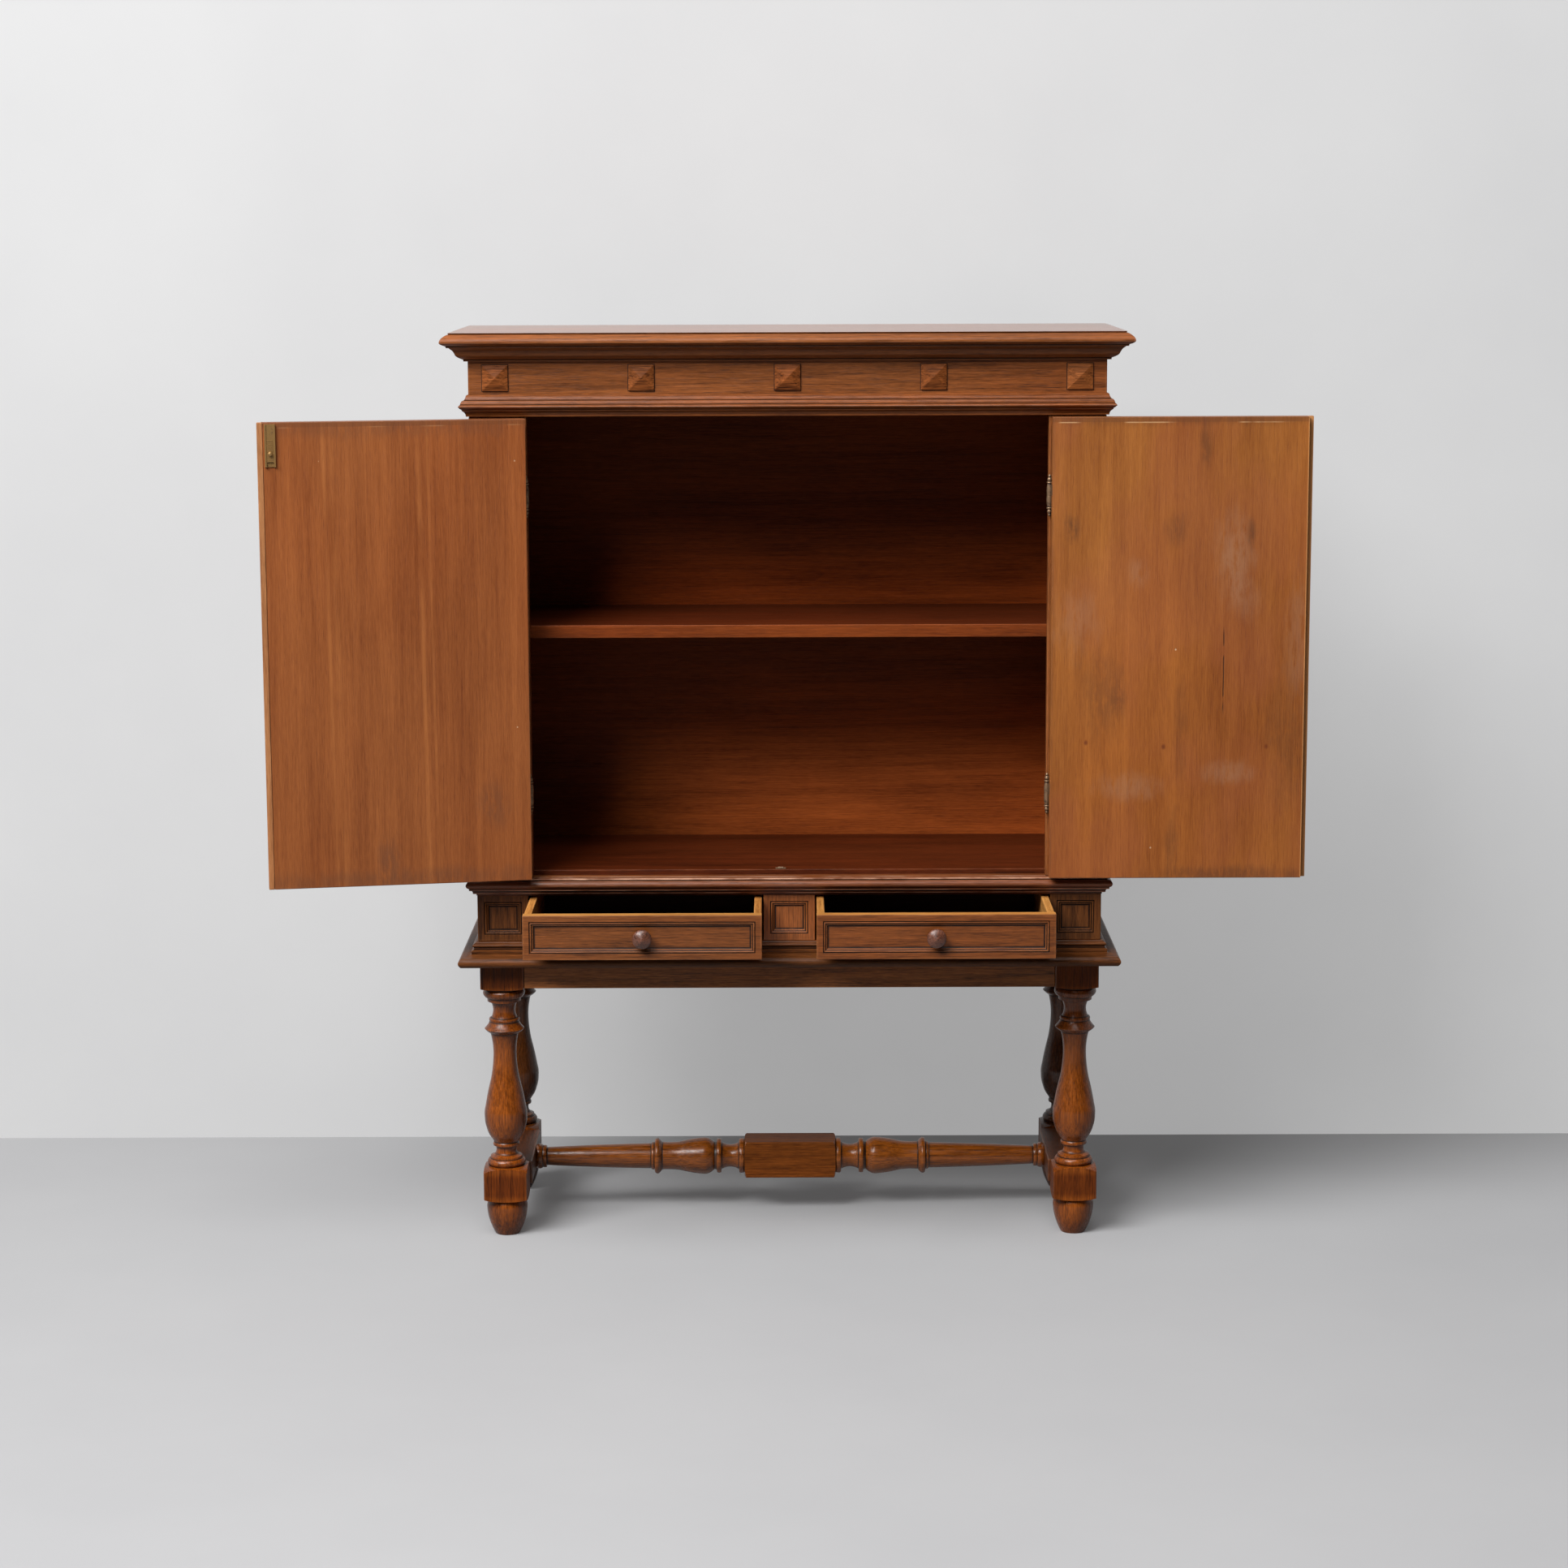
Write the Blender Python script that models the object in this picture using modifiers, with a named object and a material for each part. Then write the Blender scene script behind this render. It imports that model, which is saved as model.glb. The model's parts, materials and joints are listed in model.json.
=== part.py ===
"""A two-door cabinet with two drawers, on a stand of turned legs joined by an H-stretcher.

Metres, +Z up. The case front is the plane Y = 0 of the case empty, and the piece stands
as it is shown: both doors swung open and both drawers pulled out.
"""

import math

import bmesh
import bpy
from mathutils import Matrix

# Pose shown
LEFT_DOOR_OPEN_DEG = 169.5
RIGHT_DOOR_OPEN_DEG = 180.0
DRAWER_PULL = 0.157

# Fits
SEAM = 0.0003
HINGE_SIDE_GAP = 0.0015
MEETING_GAP = 0.0012
DOOR_SILL_GAP = 0.0020
DOOR_HEAD_GAP = 0.0020
DOOR_STOP_GAP = 0.0010
DRAWER_SIDE_GAP = 0.0015
DRAWER_TOP_GAP = 0.0025
DRAWER_RUNNING_GAP = 0.0004
DRAWER_FRONT_GAP = 0.0020
PIN_CLEARANCE = 0.0004

# Case
CASE_WIDTH = 1.018
CASE_DEPTH = 0.358
FRONT_THICKNESS = 0.022
SIDE_THICKNESS = 0.020
BACK_THICKNESS = 0.012
STILE_WIDTH = 0.092
PILASTER_WIDTH = 0.0835
CENTRE_PILASTER_WIDTH = 0.084
DRAWER_OPENING_HEIGHT = 0.0765
DOOR_OPENING_HEIGHT = 0.748
FRIEZE_PLAIN_HEIGHT = 0.053
FLOOR_THICKNESS = 0.022
FLOOR_STEP = 0.008
CEILING_THICKNESS = 0.018
SHELF_THICKNESS = 0.0215
SHELF_ABOVE_FLOOR = 0.378
SHELF_SETBACK = 0.045
SHELF_HOUSING_DEPTH = 0.006
GUIDE_HEIGHT = 0.015
GUIDE_WIDTH = 0.020

# Sunk panel on pilasters, drawer fronts and doors: inset and drop of each step of its moulding
PILASTER_BORDER = 0.0095
DRAWER_BORDER = 0.0088
DOOR_BORDER = 0.052
PANEL_STEPS = ((0.0012, 0.0015), (0.0042, 0.0008), (0.0030, 0.0025))

# Frieze ornaments: square blocks with a low pyramid face
PYRAMID_COUNT = 5
PYRAMID_SIDE = 0.041
PYRAMID_EDGE = 0.003
PYRAMID_RISE = 0.007
PYRAMID_END_INSET = 0.043

# Mouldings, members from bottom to top: rise, projection at its top, bow, facets
STAND_TOP_START = 0.0265
STAND_TOP_MEMBERS = (
    (0.0155, 0.0262, 0.0047, 5),
    (0.0013, 0.0180, 0.0, 1),
    (0.0032, 0.0100, -0.0005, 2),
)
BASE_START = 0.010
BASE_MEMBERS = (
    (0.0050, 0.0100, 0.0, 1),
    (0.0020, 0.0060, 0.0, 1),
    (0.0030, 0.0060, 0.0, 1),
    (0.0070, 0.0045, 0.0032, 4),
    (0.0020, 0.0030, 0.0, 1),
)
WAIST_START = 0.0010
WAIST_MEMBERS = (
    (0.0030, 0.0010, 0.0, 1),
    (0.0003, 0.0052, 0.0, 1),
    (0.0014, 0.0066, 0.0, 1),
    (0.0040, 0.0080, -0.0006, 2),
    (0.0010, 0.0118, 0.0, 1),
    (0.0030, 0.0122, 0.0, 1),
    (0.0012, 0.0145, 0.0, 1),
    (0.0113, 0.0128, 0.0034, 4),
    (0.0013, 0.0100, 0.0, 1),
    (0.0035, 0.0096, 0.0, 1),
)
ARCHITRAVE_START = 0.0038
ARCHITRAVE_MEMBERS = (
    (0.0014, 0.0040, 0.0, 1),
    (0.0036, 0.0052, 0.0, 1),
    (0.0034, 0.0084, -0.0004, 2),
    (0.0010, 0.0098, 0.0, 1),
    (0.0015, 0.0100, 0.0, 1),
    (0.0035, 0.0143, 0.0004, 2),
    (0.0022, 0.0150, 0.0008, 2),
    (0.0022, 0.0128, 0.0, 1),
    (0.0006, 0.0122, 0.0, 1),
    (0.0055, 0.0098, 0.0006, 2),
    (0.0010, 0.0060, 0.0, 1),
    (0.0032, 0.0050, 0.0, 1),
    (0.0044, 0.0034, 0.0, 1),
    (0.0010, 0.0020, 0.0, 1),
)
CORNICE_START = 0.0060
CORNICE_MEMBERS = (
    (0.0028, 0.0062, 0.0, 1),
    (0.0077, 0.0183, 0.0020, 3),
    (0.0075, 0.0224, -0.0004, 2),
    (0.0025, 0.0258, 0.0, 1),
    (0.0015, 0.0272, 0.0, 1),
)
TOP_START = 0.0310
TOP_MEMBERS = (
    (0.0026, 0.0318, 0.0, 1),
    (0.0050, 0.0412, 0.0014, 3),
    (0.0137, 0.0296, 0.0034, 4),
    (0.0002, 0.0287, 0.0, 1),
    (0.0020, 0.0287, 0.0, 1),
)

# Doors
DOOR_THICKNESS = 0.022
LIP_WIDTH = 0.009
LIP_OVERLAP = 0.007
LIP_THICKNESS = 0.011
LIP_REBATE_CLEARANCE = 0.0012

# Door hinges: pin axis ahead of the case front, and outside the edge of the stile
HINGE_AXIS_PROUD = 0.006
HINGE_AXIS_OUT = 0.00125
HINGE_FROM_DOOR_TOP = 0.126
HINGE_FROM_DOOR_BOTTOM = 0.135
HINGE_PIN_RADIUS = 0.0018
HINGE_PIN_LENGTH = 0.014
HINGE_LEAF_THICKNESS = 0.0014
HINGE_LEAF_HEIGHT = 0.0172
HINGE_LEAF_REACH = 0.016
HINGE_BARREL_RADIUS = 0.0043
HINGE_FACETS = 8
HINGE_TURNING = (
    (0.0185, 0.0036, 0.0008, 3),
    (0.0006, 0.0044, 0.0, 1),
    (0.0022, 0.0044, 0.0, 1),
    (0.0006, 0.0025, 0.0, 1),
    (0.0065, 0.0025, 0.0013, 3),
    (0.0005, 0.0020, 0.0, 1),
    (0.0052, 0.0, 0.0013, 2),
)

# Bolt on the left door
BOLT_WIDTH = 0.017
BOLT_HEIGHT = 0.067
BOLT_PLATE_THICKNESS = 0.0012
BOLT_WALL = 0.0016
BOLT_WALL_HEIGHT = 0.0046
BOLT_LIP = 0.0011
BOLT_LIP_THICKNESS = 0.0008
BOLT_FROM_LIP_EDGE = 0.0115
BOLT_FROM_DOOR_TOP = 0.0026
BOLT_SLIDE_SHORTFALL = 0.008
BOLT_KNOB_RADIUS = 0.0036
BOLT_KNOB_NECK = 0.0022
BOLT_KNOB_HEIGHT = 0.0060
BOLT_KNOB_FROM_TOP = 0.046
BOLT_KEEP_CLEARANCE = 0.0015

# Catch plate on the cabinet floor
CATCH_LENGTH = 0.017
CATCH_WIDTH = 0.009
CATCH_THICKNESS = 0.0012
CATCH_ROLLER_LENGTH = 0.009
CATCH_ROLLER_RADIUS = 0.0018
CATCH_FROM_FLOOR_EDGE = 0.001

# Drawers
DRAWER_LENGTH = 0.325
DRAWER_FRONT_THICKNESS = 0.020
DRAWER_SIDE_THICKNESS = 0.012
DRAWER_BACK_THICKNESS = 0.010
DRAWER_BOTTOM_THICKNESS = 0.006
DRAWER_SIDE_INSET = 0.001
DRAWER_SIDE_DROP = 0.002
DRAWER_BACK_DROP = 0.008
DRAWER_GROOVE_HEIGHT = 0.008
DRAWER_GROOVE_DEPTH = 0.005

# Knobs, turned from the flange at the drawer front to the crown
KNOB_FACETS = 16
KNOB_START_RADIUS = 0.0095
KNOB_TURNING = (
    (0.0020, 0.0095, 0.0, 1),
    (0.0055, 0.0085, -0.0010, 2),
    (0.0070, 0.0152, 0.0018, 3),
    (0.0115, 0.0, 0.0054, 5),
)

# Legs: square blanks turned between the blocks, members from top to bottom
LEG_SIDE = 0.0715
LEG_FRONT_INSET = 0.003
LEG_BACK_INSET = 0.0095
LEG_SIDE_INSET = 0.002
LEG_FACETS = 16
LEG_SQUARE_RADIUS = 0.052
LEG_VASE_LENGTH = 0.046
LEG_TURNING = (
    (0.0400, LEG_SQUARE_RADIUS, 0.0, 1),
    (0.0038, 0.0460, 0.0010, 1),
    (0.0010, 0.0330, 0.0, 1),
    (0.0027, 0.0310, 0.0, 1),
    (0.0135, 0.0310, 0.0036, 4),
    (0.0006, 0.0275, 0.0, 1),
    (0.0065, 0.0273, 0.0, 1),
    (0.0008, 0.0220, 0.0, 1),
    (0.0275, 0.0215, -0.0036, 4),
    (0.0007, 0.0243, 0.0, 1),
    (0.0052, 0.0243, 0.0, 1),
    (0.0117, 0.0322, -0.0010, 2),
    (0.0012, 0.0322, 0.0, 1),
    (0.0073, 0.0230, 0.0, 1),
    (0.0360, 0.0189, -0.0012, 3),
    (0.0415, 0.0236, -0.0009, 2),
    (LEG_VASE_LENGTH, 0.0334, 0.0006, 2),
    (0.0180, 0.0351, 0.0009, 2),
    (0.0205, 0.0316, 0.0010, 2),
    (0.0143, 0.0254, 0.0008, 2),
    (0.0082, 0.0202, 0.0, 1),
    (0.0014, 0.0212, 0.0, 1),
    (0.0048, 0.0212, 0.0, 1),
    (0.0008, 0.0176, 0.0, 1),
    (0.0125, 0.0182, -0.0014, 2),
    (0.0043, 0.0260, -0.0014, 2),
    (0.0040, 0.0266, 0.0, 1),
    (0.0005, 0.0286, 0.0, 1),
    (0.0110, 0.0288, 0.0029, 3),
    (0.0007, 0.0370, 0.0, 1),
    (0.0105, LEG_SQUARE_RADIUS, 0.0036, 3),
)
LEG_LOWER_BLOCK = 0.0400
LEG_FOOT_TURNING = (
    (0.0060, 0.0360, 0.0036, 2),
    (0.0008, 0.0300, 0.0, 1),
    (0.0180, 0.0334, 0.0016, 2),
    (0.0417, 0.0200, 0.0026, 4),
)

# Aprons between the leg heads
APRON_HEIGHT = 0.0415
APRON_THICKNESS = 0.020
APRON_SETBACK = 0.003

# Stretchers: bars front to back, and a turned rail between them, members from end to centre block
STRETCHER_Z = 0.0925
SIDE_STRETCHER_WIDTH = 0.064
SIDE_STRETCHER_HEIGHT = 0.039
SIDE_STRETCHER_PROUD = 0.004
STRETCHER_BLANK_SIDE = 0.0624
STRETCHER_SQUARE_RADIUS = 0.046
STRETCHER_FACETS = 12
STRETCHER_END_RADIUS = 0.0195
STRETCHER_TAPER_LENGTH = 0.177
STRETCHER_TURNING = (
    (0.0105, 0.0195, 0.0018, 2),
    (0.0005, 0.0186, 0.0, 1),
    (0.0062, 0.0186, 0.0, 1),
    (0.0010, 0.0153, 0.0, 1),
    (STRETCHER_TAPER_LENGTH, 0.0214, 0.0008, 3),
    (0.0015, 0.0230, 0.0, 1),
    (0.0040, 0.0232, 0.0, 1),
    (0.0015, 0.0289, 0.0, 1),
    (0.0075, 0.0289, 0.0, 1),
    (0.0045, 0.0234, 0.0, 1),
    (0.0300, 0.0242, -0.0006, 2),
    (0.0400, 0.0310, 0.0010, 3),
    (0.0190, 0.0229, 0.0026, 3),
    (0.0033, 0.0240, 0.0, 1),
    (0.0007, 0.0283, 0.0, 1),
    (0.0070, 0.0283, 0.0, 1),
    (0.0008, 0.0230, 0.0, 1),
    (0.0294, 0.0230, -0.0042, 4),
    (0.0008, 0.0285, 0.0, 1),
    (0.0086, 0.0285, 0.0, 1),
    (0.0006, 0.0360, 0.0, 1),
    (0.0050, STRETCHER_SQUARE_RADIUS, 0.0016, 2),
)

# Finishes: colour, roughness, metallic
STAINED_WALNUT = ("stained_walnut", (0.115, 0.050, 0.022), 0.42, 0.0)
DOOR_WOOD = ("door_wood", (0.300, 0.118, 0.045), 0.48, 0.0)
INNER_WOOD = ("inner_wood", (0.090, 0.034, 0.016), 0.55, 0.0)
LINING_WOOD = ("drawer_lining", (0.520, 0.250, 0.080), 0.55, 0.0)
KNOB_WOOD = ("knob_wood", (0.070, 0.030, 0.020), 0.35, 0.0)
AGED_BRASS = ("aged_brass", (0.340, 0.270, 0.140), 0.45, 1.0)


def profile(start, members):
    """Points (along, across) through the members of a moulding or a turning."""
    points = [(0.0, start)]
    for step, reach, bow, facets in members:
        along, across = points[-1]
        for facet in range(1, facets + 1):
            share = facet / facets
            bulge = 4 * bow * share * (1 - share)
            points.append((along + step * share, across + (reach - across) * share + bulge))
    return points


def length_of(members):
    """How far the members run along their axis."""
    return sum(member[0] for member in members)


# Levels above the floor the stand rests on
STAND_HEIGHT = length_of(LEG_TURNING) + LEG_LOWER_BLOCK + length_of(LEG_FOOT_TURNING)
CASE_Z = STAND_HEIGHT + length_of(STAND_TOP_MEMBERS)
DRAWER_Z = CASE_Z + length_of(BASE_MEMBERS)
RAIL_Z = DRAWER_Z + DRAWER_OPENING_HEIGHT
SILL_Z = RAIL_Z + length_of(WAIST_MEMBERS)
FLOOR_Z = SILL_Z + FLOOR_STEP
HEAD_Z = SILL_Z + DOOR_OPENING_HEIGHT
FRIEZE_Z = HEAD_Z + length_of(ARCHITRAVE_MEMBERS)
CORNICE_Z = FRIEZE_Z + FRIEZE_PLAIN_HEIGHT
TOP_Z = CORNICE_Z + length_of(CORNICE_MEMBERS)

# Places across and behind the case front
HALF_WIDTH = CASE_WIDTH / 2
INNER_HALF = HALF_WIDTH - SIDE_THICKNESS
BACK_Y = CASE_DEPTH - BACK_THICKNESS
FLOOR_EDGE_Y = DOOR_THICKNESS + DOOR_STOP_GAP
STILE_EDGE_X = HALF_WIDTH - STILE_WIDTH
PILASTER_EDGE_X = HALF_WIDTH - PILASTER_WIDTH
LEG_X = HALF_WIDTH - LEG_SIDE_INSET - LEG_SIDE / 2
LEG_FRONT_Y = LEG_FRONT_INSET + LEG_SIDE / 2
LEG_BACK_Y = CASE_DEPTH - LEG_BACK_INSET - LEG_SIDE / 2

# Door sizes, measured from the hinge axis of a closed door
HINGE_AXIS_X = STILE_EDGE_X + HINGE_AXIS_OUT
DOOR_EDGE = HINGE_AXIS_OUT + HINGE_SIDE_GAP
DOOR_WIDTH = STILE_EDGE_X - HINGE_SIDE_GAP - MEETING_GAP / 2
DOOR_FRONT_Y = HINGE_AXIS_PROUD
DOOR_INNER_Y = HINGE_AXIS_PROUD + DOOR_THICKNESS
DOOR_FREE_EDGE = DOOR_EDGE + DOOR_WIDTH
DOOR_LOW = SILL_Z + DOOR_SILL_GAP
DOOR_HIGH = HEAD_Z - DOOR_HEAD_GAP
LIP_EDGE = DOOR_FREE_EDGE + LIP_OVERLAP
HINGE_LEVELS = {"lower": DOOR_LOW + HINGE_FROM_DOOR_BOTTOM, "upper": DOOR_HIGH - HINGE_FROM_DOOR_TOP}

# Drawer sizes
DRAWER_OPENING = PILASTER_EDGE_X - CENTRE_PILASTER_WIDTH / 2
DRAWER_CENTRE_X = CENTRE_PILASTER_WIDTH / 2 + DRAWER_OPENING / 2
DRAWER_WIDTH = DRAWER_OPENING - 2 * DRAWER_SIDE_GAP
DRAWER_HIGH = DRAWER_OPENING_HEIGHT - DRAWER_TOP_GAP
PANEL_DROP = sum(drop for _, drop in PANEL_STEPS)

# The footprint as posed, from the drawer knobs to the case back, is centred on the world's Y = 0
KNOB_REACH = DRAWER_PULL + length_of(KNOB_TURNING) - PANEL_DROP
CASE_FRONT_Y = (KNOB_REACH - CASE_DEPTH) / 2

for leftover in list(bpy.data.objects):
    bpy.data.objects.remove(leftover, do_unlink=True)

parts = bpy.data.collections.new("cabinet_on_stand")
cutters = bpy.data.collections.new("cutters")
bpy.context.scene.collection.children.link(parts)
bpy.context.scene.collection.children.link(cutters)


def finish(spec):
    """The material of a finish, made once."""
    name, colour, roughness, metallic = spec
    found = bpy.data.materials.get(name)
    if found:
        return found
    made = bpy.data.materials.new(name)
    made.use_nodes = True
    shader = made.node_tree.nodes["Principled BSDF"]
    shader.inputs["Base Color"].default_value = (*colour, 1.0)
    shader.inputs["Roughness"].default_value = roughness
    shader.inputs["Metallic"].default_value = metallic
    made.diffuse_color = (*colour, 1.0)
    return made


def empty(name, parent, location, turn_deg=0.0):
    """An empty that carries pieces, turned about Z."""
    made = bpy.data.objects.new(name, None)
    parts.objects.link(made)
    made.parent = parent
    made.location = location
    made.rotation_euler = (0.0, 0.0, math.radians(turn_deg))
    return made


def place(name, mesh, spec, parent, location=(0.0, 0.0, 0.0), rotation=(0.0, 0.0, 0.0)):
    """A named piece with its finish, on its parent."""
    made = bpy.data.objects.new(name, mesh)
    parts.objects.link(made)
    made.parent = parent
    made.location = location
    made.rotation_euler = rotation
    if not mesh.materials:
        mesh.materials.append(finish(spec))
    return made


def to_cutter(made):
    """Turn a piece into a cutter, which isn't part of the object."""
    parts.objects.unlink(made)
    cutters.objects.link(made)
    made.hide_render = True
    made.display_type = "WIRE"
    return made


def combine(piece, tool, operation):
    """Add a Boolean with a tool object."""
    step = piece.modifiers.new(operation.lower(), "BOOLEAN")
    step.operation = operation
    step.object = tool


def applied_mesh(made):
    """The mesh of a piece with its modifiers applied."""
    bpy.context.view_layer.update()
    graph = bpy.context.evaluated_depsgraph_get()
    return bpy.data.meshes.new_from_object(made.evaluated_get(graph))


def box_mesh(name, size):
    """A box about its own centre."""
    mesh = bpy.data.meshes.new(name)
    shape = bmesh.new()
    bmesh.ops.create_cube(shape, size=1.0, matrix=Matrix.Diagonal((*size, 1.0)))
    shape.to_mesh(mesh)
    shape.free()
    return mesh


def block(name, low, high, spec, parent):
    """A box between two corners, exactly."""
    size = [upper - lower for lower, upper in zip(low, high)]
    centre = [(upper + lower) / 2 for lower, upper in zip(low, high)]
    return place(name, box_mesh(name, size), spec, parent, centre)


def board(name, low, high, spec, parent):
    """A board that fills the space between two corners, less half a seam on every face."""
    ease = SEAM / 2
    return block(name, [c + ease for c in low], [c - ease for c in high], spec, parent)


def sink_panel(piece, border):
    """Sink a moulded panel into the front face of a board."""
    shape = bmesh.new()
    shape.from_mesh(piece.data)
    shape.faces.ensure_lookup_table()
    front = min(shape.faces, key=lambda face: face.calc_center_median().y)
    bmesh.ops.inset_individual(shape, faces=[front], thickness=border, depth=0.0, use_even_offset=True)
    for inset, drop in PANEL_STEPS:
        bmesh.ops.inset_individual(shape, faces=[front], thickness=inset, depth=-drop, use_even_offset=True)
    shape.to_mesh(piece.data)
    shape.free()


def round_shading(mesh):
    """Smooth shading with the sharp edges kept."""
    mesh.shade_smooth()
    mesh.set_sharp_from_angle(angle=math.radians(35))


def turned(name, points, facets, spec, parent, location=(0.0, 0.0, 0.0), rotation=(0.0, 0.0, 0.0)):
    """A piece turned about its own Z from points (height, radius), the highest first."""
    mesh = bpy.data.meshes.new(name)
    edges = [(i, i + 1) for i in range(len(points) - 1)]
    mesh.from_pydata([(radius, 0.0, height) for height, radius in points], edges, [])
    made = place(name, mesh, spec, parent, location, rotation)
    lathe = made.modifiers.new("lathe", "SCREW")
    lathe.axis = "Z"
    lathe.steps = facets
    lathe.render_steps = facets
    lathe.use_merge_vertices = True
    lathe.merge_threshold = 0.00001
    lathe.use_smooth_shade = True
    return made


def extruded_mesh(name, outline, length):
    """A flat outline in XY, extruded along Z about its middle."""
    curve = bpy.data.curves.new(name, "CURVE")
    curve.dimensions = "2D"
    curve.fill_mode = "BOTH"
    curve.extrude = length / 2
    line = curve.splines.new("POLY")
    line.points.add(len(outline) - 1)
    for point, (x, y) in zip(line.points, outline):
        point.co = (x, y, 0.0, 1.0)
    line.use_cyclic_u = True
    drawn = bpy.data.objects.new(name + "_outline", curve)
    parts.objects.link(drawn)
    mesh = applied_mesh(drawn)
    mesh.name = name
    bpy.data.objects.remove(drawn, do_unlink=True)
    shape = bmesh.new()
    shape.from_mesh(mesh)
    bmesh.ops.remove_doubles(shape, verts=shape.verts, dist=0.00001)
    bmesh.ops.recalc_face_normals(shape, faces=shape.faces)
    shape.to_mesh(mesh)
    shape.free()
    mesh.materials.clear()
    return mesh


def moulded_slab(name, low_z, high_z, points, spec, parent):
    """A slab as wide and deep as the case, its front and ends moulded and its back square."""
    lift = (high_z - low_z) / points[-1][0]
    levels = [(low_z + along * lift, across) for along, across in points]
    mesh = bpy.data.meshes.new(name)
    shape = bmesh.new()
    bmesh.ops.create_cube(shape, size=1.0)

    def fit(corners, level):
        height, reach = level
        for corner in corners:
            corner.co.x = math.copysign(HALF_WIDTH + reach, corner.co.x)
            corner.co.y = -reach if corner.co.y < CASE_DEPTH / 4 else CASE_DEPTH
            corner.co.z = height

    top = max(shape.faces, key=lambda face: face.calc_center_median().z)
    bottom = min(shape.faces, key=lambda face: face.calc_center_median().z)
    fit(bottom.verts, levels[0])
    fit(top.verts, levels[1])
    for level in levels[2:]:
        top = bmesh.ops.extrude_discrete_faces(shape, faces=[top])["faces"][0]
        fit(top.verts, level)
    shape.to_mesh(mesh)
    shape.free()
    return place(name, mesh, spec, parent)


case = empty("case", None, (0.0, CASE_FRONT_Y, 0.0))


def make_legs():
    """Four legs: a square blank, cut round between its blocks, standing on a turned foot."""
    upper = profile(LEG_SQUARE_RADIUS, LEG_TURNING)
    block_end = upper[-1][0] + LEG_LOWER_BLOCK
    foot = [(block_end + along, across) for along, across in profile(LEG_SQUARE_RADIUS, LEG_FOOT_TURNING)]
    points = [(STAND_HEIGHT - along, radius) for along, radius in upper + foot]
    points = [(points[0][0], 0.0)] + points + [(0.0, 0.0)]
    lathe = to_cutter(turned("leg_lathe", points, LEG_FACETS, STAINED_WALNUT, None))
    half = LEG_SIDE / 2
    height = STAND_HEIGHT - SEAM / 2
    blank = block("leg_blank", (-half, -half, 0.0), (half, half, height), STAINED_WALNUT, None)
    combine(blank, lathe, "INTERSECT")
    mesh = applied_mesh(blank)
    bpy.data.objects.remove(blank, do_unlink=True)
    round_shading(mesh)
    for end, y in (("front", LEG_FRONT_Y), ("back", LEG_BACK_Y)):
        for side, sign in (("left", -1), ("right", 1)):
            place(f"leg_{end}_{side}", mesh, STAINED_WALNUT, case, (sign * LEG_X, y, height / 2))


def make_aprons():
    """Four aprons between the heads of the legs, set back a little from their faces."""
    low = STAND_HEIGHT - APRON_HEIGHT
    inner_x = LEG_X - LEG_SIDE / 2
    front_y = LEG_FRONT_Y - LEG_SIDE / 2 + APRON_SETBACK
    back_y = LEG_BACK_Y + LEG_SIDE / 2 - APRON_SETBACK
    for end, y in (("front", front_y), ("back", back_y - APRON_THICKNESS)):
        board(
            f"apron_{end}",
            (-inner_x, y, low),
            (inner_x, y + APRON_THICKNESS, STAND_HEIGHT),
            STAINED_WALNUT,
            case,
        )
    outer_x = LEG_X + LEG_SIDE / 2 - APRON_SETBACK
    for side, x in (("left", -outer_x), ("right", outer_x - APRON_THICKNESS)):
        board(
            f"apron_{side}",
            (x, LEG_FRONT_Y + LEG_SIDE / 2, low),
            (x + APRON_THICKNESS, LEG_BACK_Y - LEG_SIDE / 2, STAND_HEIGHT),
            STAINED_WALNUT,
            case,
        )


def make_stretchers():
    """Two bars between front and back legs, and the turned rail that ties the bars together."""
    half_height = SIDE_STRETCHER_HEIGHT / 2
    inner_x = LEG_X - LEG_SIDE / 2 - SIDE_STRETCHER_PROUD
    for side, sign in (("left", -1), ("right", 1)):
        edges = sorted((sign * inner_x, sign * (inner_x + SIDE_STRETCHER_WIDTH)))
        board(
            f"side_stretcher_{side}",
            (edges[0], LEG_FRONT_Y + LEG_SIDE / 2, STRETCHER_Z - half_height),
            (edges[1], LEG_BACK_Y - LEG_SIDE / 2, STRETCHER_Z + half_height),
            STAINED_WALNUT,
            case,
        )
    reach = inner_x - SEAM / 2
    half = [(reach - along, radius) for along, radius in profile(STRETCHER_END_RADIUS, STRETCHER_TURNING)]
    points = [(reach, 0.0)] + half + [(-along, radius) for along, radius in reversed(half)] + [(-reach, 0.0)]
    lathe = turned("stretcher_lathe", points, STRETCHER_FACETS, STAINED_WALNUT, None)
    to_cutter(lathe)
    side = STRETCHER_BLANK_SIDE / 2
    blank = block("stretcher_blank", (-side, -side, -reach), (side, side, reach), STAINED_WALNUT, None)
    combine(blank, lathe, "INTERSECT")
    mesh = applied_mesh(blank)
    bpy.data.objects.remove(blank, do_unlink=True)
    round_shading(mesh)
    middle_y = (LEG_FRONT_Y + LEG_BACK_Y) / 2
    along_x = (0.0, math.radians(90), 0.0)
    place("centre_stretcher", mesh, STAINED_WALNUT, case, (0.0, middle_y, STRETCHER_Z), along_x)


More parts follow.
